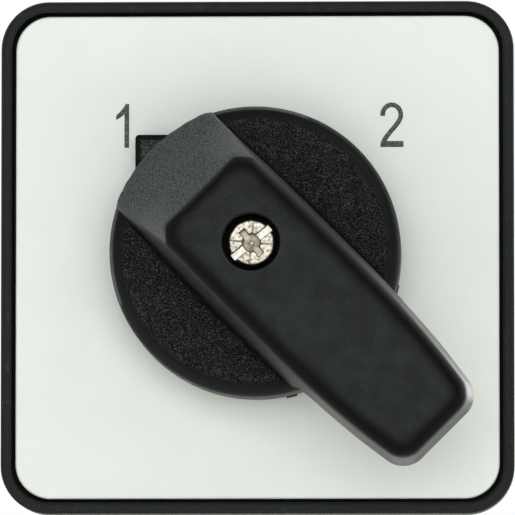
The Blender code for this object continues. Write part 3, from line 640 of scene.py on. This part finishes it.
def metal_material(name, base, spread, rough, grain, stretch=(1.0, 1.0, 1.0)):
    """Worked metal: colour patches, drawn or rolled grain, and roughness that follows them."""
    finish = Finish(name)
    place = finish.vector("MULTIPLY", finish.place, stretch)
    patches = finish.fade(finish.noise(0.7, 5.0, 0.6), 0.3, 0.7)
    dark = tuple(part * (1 - spread) for part in base)
    colour = finish.mix(patches, dark, base)
    lines = finish.noise(6.0, 3.0, 0.6, place)
    roughness = finish.plus(rough, finish.times(patches, 0.12))
    return finish.set(Base_Color=colour, Metallic=1.0, Roughness=roughness,
                      Normal=finish.bumps(lines, grain))


def build_finishes():
    return {
        "bezel_black": bezel_material(),
        "dial_insert": dial_material(),
        "gasket_rubber": rubber_material(),
        "knob_black": knob_material(),
        "pointer_black": pointer_material(),
        "nickel_screw": nickel_material(),
        "housing_black": housing_material(),
        "carrier_plastic": carrier_material(),
        "natural_acetal": acetal_material(),
        "zinc_steel": metal_material("zinc_steel", (0.72, 0.74, 0.76), 0.22, 0.26, 0.012),
        "spring_steel": metal_material("spring_steel", (0.50, 0.50, 0.50), 0.3, 0.28, 0.010),
        "shaft_steel": metal_material("shaft_steel", (0.60, 0.60, 0.59), 0.2, 0.3, 0.014,
                                      (1.0, 0.08, 1.0)),
        "terminal_brass": metal_material("terminal_brass", (0.80, 0.60, 0.28), 0.25, 0.26, 0.012,
                                         (0.3, 1.0, 1.0)),
        "bridge_brass": metal_material("bridge_brass", (0.76, 0.56, 0.27), 0.25, 0.3, 0.012,
                                       (1.0, 1.0, 0.2)),
        "dial_ink": ink_material(),
    }


# -------------------------------- front plate pieces

def bezel_piece(finish):
    """A frame with a rounded ridge, and inside it the pocket that the insert sits in."""
    outside, inside, over = 0.55, 0.3, 1.0
    well_radius, hole_radius = 8.0, 5.0
    profile = [(0.0, BEZEL_REAR), (0.0, BEZEL_FRONT + outside)]
    for a in quarter(8)[1:]:
        profile.append((outside * (1 - math.cos(a)), BEZEL_FRONT + outside * (1 - math.sin(a))))
    lip = [(BEZEL_LIP - inside, BEZEL_FRONT - over)]
    for share in (0.0, 0.3, 0.7, 1.0):
        a = math.pi / 2 * share
        lip.append((BEZEL_LIP - inside * (1 - math.sin(a)), BEZEL_FRONT + inside * (1 - math.cos(a))))
    lip.append((BEZEL_LIP, BEZEL_LEDGE))
    well = [(0, BEZEL_LEDGE - over), (well_radius, BEZEL_LEDGE - over), (well_radius, BEZEL_FLOOR),
            (0, BEZEL_FLOOR)]
    cuts = [stacked_squares(PLATE_SIDE, PLATE_CORNER, lip), turned(well, 64),
            prism(circle(hole_radius, 48), BEZEL_FLOOR - over, BEZEL_REAR + over)]
    body = stacked_squares(PLATE_SIDE, PLATE_CORNER, profile)
    mesh = combined("bezel_frame_moulded", body, cuts=cuts)
    stand_in("bezel_frame", "moulded", mesh, finish, "bezel_black")


def insert_piece(finish):
    """The dial plate, with a softened front edge."""
    edge, hole_radius, over = 0.22, 5.2, 1.0
    profile = []
    for a in quarter(5):
        profile.append((edge * (1 - math.sin(a)), INSERT_FRONT + edge * (1 - math.cos(a))))
    profile.append((0.0, INSERT_REAR))
    body = stacked_squares(INSERT_SIDE, INSERT_CORNER, profile)
    hole = prism(circle(hole_radius, 48), INSERT_FRONT - over, INSERT_REAR + over)
    mesh = combined("dial_plate_printed", body, cuts=[hole])
    stand_in("dial_plate", "printed", mesh, finish, "dial_insert")


DIGIT_HEIGHT = 4.12
DIGIT_STROKE = 0.44
DIGIT_LEFT = (-12.0, 10.26)
DIGIT_RIGHT = (12.58, 10.27)
INK_THICK = 0.03


def bezier(points, steps):
    """A cubic curve through the first and last of four points."""
    made = []
    for i in range(steps + 1):
        t = i / steps
        shares = ((1 - t) ** 3, 3 * t * (1 - t) ** 2, 3 * t * t * (1 - t), t ** 3)
        made.append(tuple(sum(s * p[k] for s, p in zip(shares, points)) for k in (0, 1)))
    return made


def stroked(line, width_mm):
    """The outline of a pen stroke of constant width along a line."""
    left, right = [], []
    for i, point in enumerate(line):
        before = line[max(i - 1, 0)]
        after = line[min(i + 1, len(line) - 1)]
        dx, dz = after[0] - before[0], after[1] - before[1]
        length = math.hypot(dx, dz)
        nx, nz = -dz / length * width_mm / 2, dx / length * width_mm / 2
        left.append((point[0] + nx, point[1] + nz))
        right.append((point[0] - nx, point[1] - nz))
    return left + right[::-1]


def digit_one():
    """A stem whose right edge is at x = 0, and a flag down to the left from its top."""
    top, flag_left = DIGIT_HEIGHT, -1.22
    upper = bezier([(-0.32, top), (-0.55, top - 0.45), (-0.85, top - 0.78), (flag_left, top - 1.10)], 8)
    lower = bezier([(flag_left, top - 1.50), (-0.95, top - 1.38), (-0.68, top - 1.22),
                    (-DIGIT_STROKE, top - 0.98)], 6)
    return [[(0.0, 0.0), (0.0, top), *upper, *lower, (-DIGIT_STROKE, 0.0)]]


def digit_two():
    """A bowl, a tail that sweeps to the lower left, and a foot. It is centred on x = 0."""
    bowl_x, bowl_z, centre_z = 0.845, 0.93, 3.03
    bowl = []
    for i in range(25):
        a = math.radians(187 - 215 * i / 24)
        bowl.append((bowl_x * math.cos(a), centre_z + bowl_z * math.sin(a)))
    end = bowl[-1]
    tail = bezier([end, (end[0] - 0.22, end[1] - 0.62), (-0.72, 1.05), (-0.86, 0.16)], 14)
    stroke = stroked(bowl + tail[1:], DIGIT_STROKE)
    foot = [(-1.09, 0.0), (1.09, 0.0), (1.09, 0.56), (-0.9, 0.56)]
    return [stroke, foot]


def print_digit(name, shapes, corner, finish):
    """A digit as a thin film of ink on the insert."""
    meshes = [prism([(x + corner[0], z + corner[1]) for x, z in outline],
                    INSERT_FRONT - INK_THICK, INSERT_FRONT + 0.2) for outline in shapes]
    mesh = combined(name, meshes[0], joins=meshes[1:])
    piece = finished(name, mesh, finish["dial_ink"], "housing")


# -------------------------------- handle

def wall_draft(y):
    """0 on the grip's front face, 1 at the arm's rear face and behind it."""
    return min((y - GRIP_FRONT) / (GRIP_ARM_REAR - GRIP_FRONT), 1.0)


def grip_half_width(u, y):
    """Half the grip's width at u along it, for a depth y."""
    widest = GRIP_FRONT_WIDTH + (GRIP_ARM_WIDTH - GRIP_FRONT_WIDTH) * wall_draft(y)
    if y > GRIP_ARM_REAR:
        below = (y - GRIP_ARM_REAR) / (DISC_FRONT - GRIP_ARM_REAR)
        widest += (GRIP_BASE_WIDTH - GRIP_ARM_WIDTH) * below
    off_widest = max(u - GRIP_WIDEST_AT, -GRIP_TAPER_BEHIND)
    return (widest - GRIP_TAPER * abs(off_widest) ** 3) / 2


def ramp_line(y):
    """Where the ramp's surface is along the grip at a depth, with a rounded edge at its top."""
    lean = math.atan2(RAMP_TOP - RAMP_FOOT, RAMP_LOW - GRIP_FRONT)
    turn = math.pi / 2 - lean
    start = RAMP_TOP + RAMP_EDGE * math.tan(turn / 2)
    below = y - GRIP_FRONT
    if below < RAMP_EDGE * (1 - math.cos(turn)):
        return start - math.sqrt(max(RAMP_EDGE ** 2 - (RAMP_EDGE - below) ** 2, 0.0))
    return RAMP_TOP - below * math.tan(lean)


def end_outline(half, end, corner):
    """The grip's outline from ARM_ROOT round one end and back. half(u) is half its width at u."""
    way = 1 if end > ARM_ROOT else -1
    side_steps, end_steps = 16, 24
    side = []
    for i in range(side_steps + 1):
        u = ARM_ROOT + (end - way * corner - ARM_ROOT) * i / side_steps
        side.append((u, half(u)))
    for a in quarter(10)[1:]:
        u = end - way * corner * (1 - math.sin(a))
        side.append((u, half(u) - corner * (1 - math.cos(a))))
    end_half = side[-1][1]
    for i in range(1, end_steps // 2 + 1):
        side.append((end, end_half * (1 - 2 * i / end_steps)))
    return [(u, -way * v) for u, v in side] + [(u, way * v) for u, v in reversed(side[:-1])]


def grip_layer(y, inset=0.0, rear_inset=0.0):
    """The grip's outline at one depth, as its part on the disc and its arm beyond ARM_ROOT."""
    def half(u):
        extra = rear_inset * smooth_step((u - ARM_ROOT) / 2.0)
        return grip_half_width(u, y) - inset - extra

    corner_fade = 1 - smooth_step((y - GRIP_FRONT) / RAMP_CORNER_DEPTH)
    back_corner = RAMP_CORNER + (RAMP_TOP_CORNER - RAMP_CORNER) * corner_fade
    block = []
    for u, v in end_outline(half, max(ramp_line(y), RAMP_FOOT - 0.3), back_corner):
        reach = math.hypot(u, v)
        over_rim = reach > RIM_LIMIT and (u < 0 or y > GRIP_ARM_REAR)
        scale = RIM_LIMIT / reach if over_rim else 1.0
        block.append((u * scale, v * scale))
    tip = GRIP_TIP - inset - rear_inset + GRIP_TIP_DRAFT * wall_draft(y)
    arm = end_outline(half, tip, max(GRIP_TIP_CORNER - inset, 0.3))
    return block, arm[1:-1]


def grip_levels():
    """Depth, inset and rear inset, from the front face over its round edge to the arm's rear face."""
    rear_edge, wall_steps = 0.35, 7
    top, bottom = GRIP_FRONT + GRIP_EDGE, GRIP_ARM_REAR - rear_edge
    levels = []
    for a in reversed(quarter(14)):
        levels.append((GRIP_FRONT + GRIP_EDGE * (1 - math.sin(a)), GRIP_EDGE * (1 - math.cos(a)), 0.0))
    for i in range(1, wall_steps + 1):
        levels.append((top + (bottom - top) * i / wall_steps, 0.0, 0.0))
    for a in quarter(4)[1:]:
        levels.append((bottom + rear_edge * math.sin(a), 0.0, rear_edge * (1 - math.cos(a))))
    return levels


def root_line(half):
    """Points across the grip at ARM_ROOT, between its two sides."""
    steps = 8
    return [(ARM_ROOT, -half * (1 - 2 * i / steps)) for i in range(1, steps)]


def grip_shape():
    """The grip, built from outlines stacked from its front face down into the disc."""
    bm = bmesh.new()
    rings = []
    for level in grip_levels():
        block, arm = grip_layer(*level)
        rings.append([bm.verts.new((u, level[0], v)) for u, v in block + arm])
    join_rings(bm, rings)
    bm.faces.new(rings[0])
    last = rings[-1]
    root = [bm.verts.new((u, GRIP_ARM_REAR, v)) for u, v in root_line(block[0][1])]
    bm.faces.new([*last[len(block) - 1:], last[0], *reversed(root)])
    lower = [last[:len(block)] + root]
    drop_steps = 12
    for i in range(1, drop_steps + 1):
        y = GRIP_ARM_REAR + (DISC_FRONT + GRIP_BURIED - GRIP_ARM_REAR) * i / drop_steps
        block, _ = grip_layer(y)
        outline = block + root_line(block[0][1])
        lower.append([bm.verts.new((u, y, v)) for u, v in outline])
    join_rings(bm, lower)
    bm.faces.new(lower[-1])
    return closed(bm)


def disc_shape():
    """The round base: a fillet at its rim, then a floor that dips slightly towards the middle."""
    floor_start = DISC_RADIUS - DISC_FILLET
    rear_edge, floor_steps = 0.25, 10
    profile = [(0, DISC_REAR), (DISC_RADIUS - rear_edge, DISC_REAR), (DISC_RADIUS, DISC_REAR - rear_edge)]
    profile += arc((floor_start, DISC_FRONT + DISC_FILLET), DISC_FILLET, 0.0, -math.pi / 2, 10)
    for i in range(1, floor_steps + 1):
        r = floor_start * (1 - i / floor_steps)
        profile.append((r, DISC_FRONT + DISC_DISH * (1 - (r / floor_start) ** 2)))
    return turned(profile, 160)


def handle_piece(finish):
    """Disc and grip in one, with the screw's stepped hole, a square socket and a hollow ring below."""
    over, flare = 2.0, 0.08
    hole_end, socket_end = DISC_REAR - 8.0, DISC_REAR - 10.1
    ring_inner, ring_outer, ring_end = 7.0, 11.8, DISC_REAR - 4.2
    stepped = [(0, GRIP_FRONT - over), (COUNTERBORE_RADIUS + flare, GRIP_FRONT - over),
               (COUNTERBORE_RADIUS + flare, GRIP_FRONT), (COUNTERBORE_RADIUS, GRIP_FRONT + flare),
               (COUNTERBORE_RADIUS, COUNTERBORE_FLOOR), (SCREW_HOLE_RADIUS, COUNTERBORE_FLOOR),
               (SCREW_HOLE_RADIUS, hole_end), (0, hole_end)]
    ring = [(ring_inner, DISC_REAR + over), (ring_outer, DISC_REAR + over), (ring_outer, ring_end),
            (ring_inner, ring_end)]
    half = SOCKET_SIDE / 2
    socket = box(-half, half, socket_end, DISC_REAR + over, -half, half)
    cuts = [turned(stepped, 96), moved(socket, Matrix.Rotation(HANDLE_ANGLE, 4, "Y")), turned(ring, 96)]
    mesh = combined("handle_moulded", disc_shape(), joins=[grip_shape()], cuts=cuts)
    stand_in("handle", "moulded", mesh, finish, "knob_black", "rotor", HANDLE_ANGLE)


def sunk_box(x_top, x_floor, z_top, z_floor, deep):
    """A cutter for the screw head: half widths at the face and at the floor of the recess."""
    sections = []
    for y, x, z in ((HEAD_FRONT - 1.0, x_top, z_top), (HEAD_FRONT, x_top, z_top),
                    (HEAD_FRONT + deep, x_floor, z_floor)):
        sections.append(at_depth([(-x, -z), (x, -z), (x, z), (-x, z)], y))
    return lofted(sections)


def screw_piece(finish):
    """A slot across the head, a deeper cross and a round hollow in its middle, four tick marks."""
    edge, edge_deep, clear, shank, tip_edge, over = 0.32, 0.34, 0.12, 1.5, 0.4, 1.0
    flat = HEAD_RADIUS - edge
    rear, tip = depth("lock_washer", 0) - clear, depth("handle_screw", 1)
    rim = [(flat + edge * math.sin(a), HEAD_FRONT + edge_deep * (1 - math.cos(a))) for a in quarter(6)]
    profile = [(0, HEAD_FRONT), *rim, (HEAD_RADIUS, rear), (shank, rear), (shank, tip - tip_edge),
               (shank - tip_edge, tip), (0, tip)]
    socket = [(0, -over), (0.94, -over), (0.90, 0.3), (0.72, 0.92), (0.3, 1.08), (0.16, 0.98),
              (0, 0.94)]
    cuts = [sunk_box(0.40, 0.29, 3.0, 3.0, 0.5), sunk_box(1.46, 1.32, 0.37, 0.25, 0.95),
            turned([(radius, HEAD_FRONT + deep) for radius, deep in socket], 40)]
    for degrees in (45, 135, 225, 315):
        tick = moved(sunk_box(0.09, 0.01, 0.62, 0.62, 0.09), Matrix.Translation((0, 0, 1.35)))
        cuts.append(moved(tick, Matrix.Rotation(math.radians(degrees), 4, "Y")))
    mesh = combined("handle_screw_plated", turned(profile, 72), cuts=cuts)
    stand_in("handle_screw", "plated", mesh, finish, "nickel_screw", "rotor", SCREW_ANGLE, 30.0)


def wedge(inset):
    """The pointer's outline: a square corner with a small round nose, towards -X."""
    reach = POINTER_REACH + POINTER_NOSE * (math.sqrt(2) - 1)
    nose_centre = POINTER_NOSE * math.sqrt(2) - reach
    radius = max(POINTER_NOSE - inset, 0.05)
    nose = []
    for i in range(9):
        a = math.pi / 4 * (1 - 2 * i / 8)
        nose.append((nose_centre - radius * math.cos(a), radius * math.sin(a)))
    side = reach / 2 - inset
    return [(-side, side), *nose, (-side, -side), (0.0, 0.0)]


def pointer_piece(finish):
    """The ring under the disc with its pointing corner and two lugs."""
    edge, lug_half, sunk, over = 0.3, 0.5, 0.1, 1.0
    sections = []
    for a in reversed(quarter(4)):
        outline = wedge(edge * (1 - math.cos(a)))
        sections.append(at_depth(outline, POINTER_FRONT + edge * (1 - math.sin(a))))
    sections.append(at_depth(wedge(0.0), POINTER_REAR))
    lugs = []
    for angle in (LUG_ANGLE, -LUG_ANGLE):
        lug = box(POINTER_RING_RADIUS - 1.5, LUG_REACH, POINTER_FRONT + sunk, POINTER_REAR - sunk,
                  -lug_half, lug_half)
        lugs.append(moved(lug, Matrix.Rotation(angle, 4, "Y")))
    half = SOCKET_SIDE / 2
    hole = moved(box(-half, half, POINTER_FRONT - over, POINTER_REAR + over, -half, half),
                 Matrix.Rotation(HANDLE_ANGLE, 4, "Y"))
    base = prism(circle(POINTER_RING_RADIUS, 120), POINTER_FRONT, POINTER_REAR)
    mesh = combined("pointer_ring_moulded", base, joins=[lofted(sections), *lugs], cuts=[hole])
    stand_in("pointer_ring", "moulded", mesh, finish, "pointer_black", "rotor", HANDLE_ANGLE)


# -------------------------------- pieces behind the panel

def rounded_head(radius, top, seat, edge):
    """A screw head's (radius, y) profile from its axis to its seat; top and seat are depths."""
    way = 1 if seat > top else -1
    rim = [(radius - edge * (1 - math.sin(a)), top + way * edge * (1 - math.cos(a))) for a in quarter(5)]
    return [(0, top), *rim, (radius, seat)]


def terminal_screw_pieces(finish):
    """Slotted screws over square clamp washers with rounded corners."""
    head, head_thick, head_edge, shank, tip_edge = 2.3, 1.9, 0.45, 1.35, 0.4
    washer_side, washer_corner, washer_thick, sunk = 4.4, 0.5, 0.8, 0.1
    slot_half, slot_deep, over = 0.35, 0.9, 3.0
    for name in frame["nodes"]:
        if not name.startswith("terminal_screw_"):
            continue
        low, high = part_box(name)
        side = 1 if low.x > 0 else -1
        head_end = max(abs(low.x), abs(high.x)) / MM
        tip = min(abs(low.x), abs(high.x)) / MM
        seat = head_end - head_thick
        profile = rounded_head(head, -head_end, -seat, head_edge)
        profile += [(shank, -seat), (shank, -tip - tip_edge), (shank - tip_edge, -tip), (0, -tip)]
        washer_start = -seat - sunk
        washer = prism(rounded_square(washer_side, washer_corner, 4), washer_start,
                       washer_start + washer_thick)
        slot = box(-slot_half, slot_half, -head_end - 1, -head_end + slot_deep, -over, over)
        mesh = combined(name + "_plated", turned(profile, 48), joins=[washer], cuts=[slot])
        place = Matrix.Translation((0, middle(name).y, middle(name).z))
        mesh.transform(place @ Matrix.Rotation(side * math.pi / 2, 4, "Z"))
        stand_in(name, "plated", mesh, finish, "zinc_steel", sharp=30.0)


def through_bolt_pieces(finish):
    """Slotted cheese heads in the rear cover, on shanks that reach the nuts in the flange."""
    head, head_thick, head_edge, shank, tip_edge = 2.75, 1.4, 0.45, 1.5, 0.4
    slot_half, slot_deep, over = 0.4, 0.7, 3.5
    for name in ("through_bolt_top", "through_bolt_bottom"):
        front, rear = depth(name, 0), depth(name, 1)
        seat = rear - head_thick
        profile = rounded_head(head, rear, seat, head_edge)
        profile += [(shank, seat), (shank, front + tip_edge), (shank - tip_edge, front), (0, front)]
        slot = box(-over, over, rear - slot_deep, rear + 1, -slot_half, slot_half)
        mesh = combined(name + "_plated", turned(profile, 56), cuts=[slot])
        mesh.transform(Matrix.Translation((0, 0, middle(name).z)))
        stand_in(name, "plated", mesh, finish, "zinc_steel", sharp=30.0)


def mounting_screw_pieces(finish):
    """Pan heads with a cross recess, and a threaded shank that crosses the panel's gap."""
    head, head_thick, head_edge, tip_edge = 3.0, 1.2, 0.6, 0.4
    shank, root, pitch, plain = 1.7, 1.45, 0.6, 0.3
    reach, half, deep = 1.4, 0.3, 0.8
    for number in range(1, 5):
        name = f"mounting_screw_{number}"
        front, tip = depth(name, 0), depth(name, 1)
        seat = front + head_thick
        y = seat + pitch
        profile = rounded_head(head, front, seat, head_edge) + [(shank, seat), (shank, y)]
        while y + pitch < tip - plain:
            profile += [(root, y + pitch * 0.4), (root, y + pitch * 0.6), (shank, y + pitch)]
            y += pitch
        profile += [(shank - tip_edge, tip), (0, tip)]
        cross = [box(-reach, reach, front - 1, front + deep, -half, half),
                 box(-half, half, front - 1, front + deep, -reach, reach)]
        mesh = combined(name + "_plated", turned(profile, 40), cuts=cross)
        mesh.transform(Matrix.Translation((middle(name).x, 0, middle(name).z)))
        stand_in(name, "plated", mesh, finish, "zinc_steel", sharp=25.0)


# How far in from its side a body's edges are rounded, and how round they are
OUTER_BAND = 2.8
SOFT_EDGES = {
    "mounting_flange": 0.35, "latch_housing": 0.4, "contact_chamber_front": 0.3,
    "contact_chamber_rear": 0.3, "rear_cover": 0.45, "bezel_gasket": 0.2,
}


def softened(node, edge, finish):
    """A copy of a CAD node with its sharp outer edges rounded."""
    source = frame["nodes"][node]
    bm = bmesh.new()
    bm.from_mesh(source.data)
    bmesh.ops.remove_doubles(bm, verts=bm.verts, dist=1e-6)
    bmesh.ops.dissolve_limit(bm, angle_limit=math.radians(1.0), verts=bm.verts, edges=bm.edges)
    bmesh.ops.recalc_face_normals(bm, faces=bm.faces)
    outer_from = (width(node) / 2 - OUTER_BAND) * MM
    chosen = []
    for line in bm.edges:
        if len(line.link_faces) != 2 or not line.is_convex:
            continue
        outer = all(max(abs(v.co.x), abs(v.co.z)) > outer_from for v in line.verts)
        if outer and line.calc_face_angle() > math.radians(50):
            chosen.append(line)
    bmesh.ops.bevel(bm, geom=chosen, offset=edge * MM, segments=3, affect="EDGES", profile=0.5,
                    clamp_overlap=True)
    mesh = bpy.data.meshes.new(node + "_moulded")
    bm.to_mesh(mesh)
    bm.free()
    mesh.transform(Matrix.Scale(1 / MM, 4) @ Matrix.Translation((0, -PANEL_Y, 0)))
    slot = source.data.materials[0].name.split(".")[0]
    stand_in(node, "moulded", mesh, finish, slot)


def spring_pieces(finish):
    """Finer coils for the contact springs."""
    radius, wire = 1.6, 0.24
    for where in ("front", "rear"):
        for side, sign in (("left", -1), ("right", 1)):
            node = f"contact_spring_{where}_{side}"
            low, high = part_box(node)
            near, far = sorted((abs(low.x) / MM, abs(high.x) / MM))
            shape = coil(radius, wire, near + wire, far - wire, turns=5, steps=24, sides=10)
            mesh = bpy.data.meshes.new(node + "_wound")
            shape.to_mesh(mesh)
            shape.free()
            mesh.transform(Matrix.Translation((0, middle(node).y, 0))
                           @ Matrix.Rotation(0.0 if sign > 0 else math.pi, 4, "Y"))
            piece = finished(node + "_wound", mesh, finish["spring_steel"], "housing")
            piece.modifiers.clear()
            bpy.context.view_layer.update()
            piece.parent = None
            del piece["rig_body"]
            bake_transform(piece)
            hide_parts(node)


def carried_over(finish):
    """CAD nodes whose shape is right keep it and take the detailed materials."""
    for node in frame["nodes"].values():
        if node.hide_render:
            continue
        slot = node.data.materials[0].name.split(".")[0]
        node.data.materials[0] = finish[slot]


# -------------------------------- stage

FLOOR_Z = -0.080


def build_floor():
    bm = bmesh.new()
    bmesh.ops.create_grid(bm, x_segments=8, y_segments=8, size=4.0)
    floor = object_from("studio_floor", bm)
    floor.location = (0, 0, FLOOR_Z)
    finish = Finish("studio_floor")
    tone = coloured_noise(finish, (0.80, 0.80, 0.79), 0.01, 0.01)
    floor.data.materials.append(finish.set(Base_Color=tone, Roughness=0.7))


# How bright the studio is at a share of the way from behind the camera (0) to behind the object (1)
STUDIO = ((0.0, 4.8), (0.03, 4.3), (0.06, 0.70), (0.12, 0.30), (0.36, 0.22), (0.50, 0.25),
          (0.70, 2.6), (0.95, 3.4))
STUDIO_TOP = 5.0


def build_world():
    """A ring of soft light round the camera and a white wall behind the object, dim to the sides."""
    world = bpy.data.worlds.new("studio")
    bpy.context.scene.world = world
    world.use_nodes = True
    nodes, links = world.node_tree.nodes, world.node_tree.links
    background = nodes["Background"]
    coordinates = nodes.new("ShaderNodeTexCoord")
    split = nodes.new("ShaderNodeSeparateXYZ")
    links.new(coordinates.outputs["Generated"], split.inputs[0])
    share = nodes.new("ShaderNodeMapRange")
    share.inputs["From Min"].default_value = -1.0
    links.new(split.outputs["Y"], share.inputs["Value"])
    ramp = nodes.new("ShaderNodeValToRGB")
    ramp.color_ramp.interpolation = "EASE"
    for _ in STUDIO[2:]:
        ramp.color_ramp.elements.new(0.5)
    for element, (where, level) in zip(ramp.color_ramp.elements, STUDIO):
        element.position = where
        element.color = (*([level / STUDIO_TOP] * 3), 1.0)
    links.new(share.outputs[0], ramp.inputs[0])
    scaled = nodes.new("ShaderNodeMath")
    scaled.operation = "MULTIPLY"
    scaled.inputs[1].default_value = STUDIO_TOP
    links.new(ramp.outputs["Color"], scaled.inputs[0])
    path = nodes.new("ShaderNodeLightPath")
    seen = nodes.new("ShaderNodeMix")
    seen.data_type = "FLOAT"
    links.new(path.outputs["Is Camera Ray"], seen.inputs[0])
    links.new(scaled.outputs[0], seen.inputs[2])
    seen.inputs[3].default_value = 1.0
    background.inputs["Color"].default_value = (1.0, 1.0, 1.0, 1.0)
    links.new(seen.outputs[0], background.inputs["Strength"])


def area_light(name, place, target, size, power):
    light = bpy.data.lights.new(name, "AREA")
    light.shape = "RECTANGLE"
    light.size, light.size_y = size
    light.energy = power
    lamp = bpy.data.objects.new(name, light)
    lamp.location = place
    lamp.rotation_euler = (Vector(target) - Vector(place)).to_track_quat("-Z", "Y").to_euler()
    lamp.visible_camera = False
    bpy.context.scene.collection.objects.link(lamp)


def build_lights():
    """A weak key from the upper right, and a glow from the table to fill in from below."""
    dial = (0.0, -0.04, 0.0)
    area_light("key_upper_right", (0.40, -0.62, 0.46), dial, (0.30, 0.30), 0.55)
    area_light("table_glow", (0.0, -0.42, FLOOR_Z + 0.002), (0.0, -0.42, 1.0), (1.0, 0.56), 0.5)


# The point of the dial that the camera looks at, and where it stands from there, in metres
CAMERA_AIM = (0.00002, -0.00006)
CAMERA_AWAY = (0.0205, -0.700, -0.0495)
CAMERA_LENS = 525.2


def build_camera():
    """A long lens in front of the dial, slightly to the right and below."""
    face = Vector((CAMERA_AIM[0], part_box("dial_plate")[0].y, CAMERA_AIM[1]))
    away = Vector(CAMERA_AWAY)
    camera = bpy.data.cameras.new("camera")
    camera.sensor_width = 36.0
    camera.lens = CAMERA_LENS
    camera.clip_start = 0.01
    camera.clip_end = 20.0
    eye = bpy.data.objects.new("camera", camera)
    eye.location = face + away
    eye.rotation_euler = (-away).to_track_quat("-Z", "Y").to_euler()
    bpy.context.scene.collection.objects.link(eye)
    bpy.context.scene.camera = eye


# -------------------------------- everything

finishes = build_finishes()
bezel_piece(finishes)
insert_piece(finishes)
print_digit("dial_number_1", digit_one(), DIGIT_LEFT, finishes)
print_digit("dial_number_2", digit_two(), DIGIT_RIGHT, finishes)
handle_piece(finishes)
screw_piece(finishes)
pointer_piece(finishes)
for cad_node, soft_edge in SOFT_EDGES.items():
    softened(cad_node, soft_edge, finishes)
terminal_screw_pieces(finishes)
through_bolt_pieces(finishes)
mounting_screw_pieces(finishes)
spring_pieces(finishes)
carried_over(finishes)
build_floor()
build_world()
build_lights()
build_camera()
scene = bpy.context.scene
scene.view_settings.view_transform = "Standard"
scene.view_settings.look = "None"
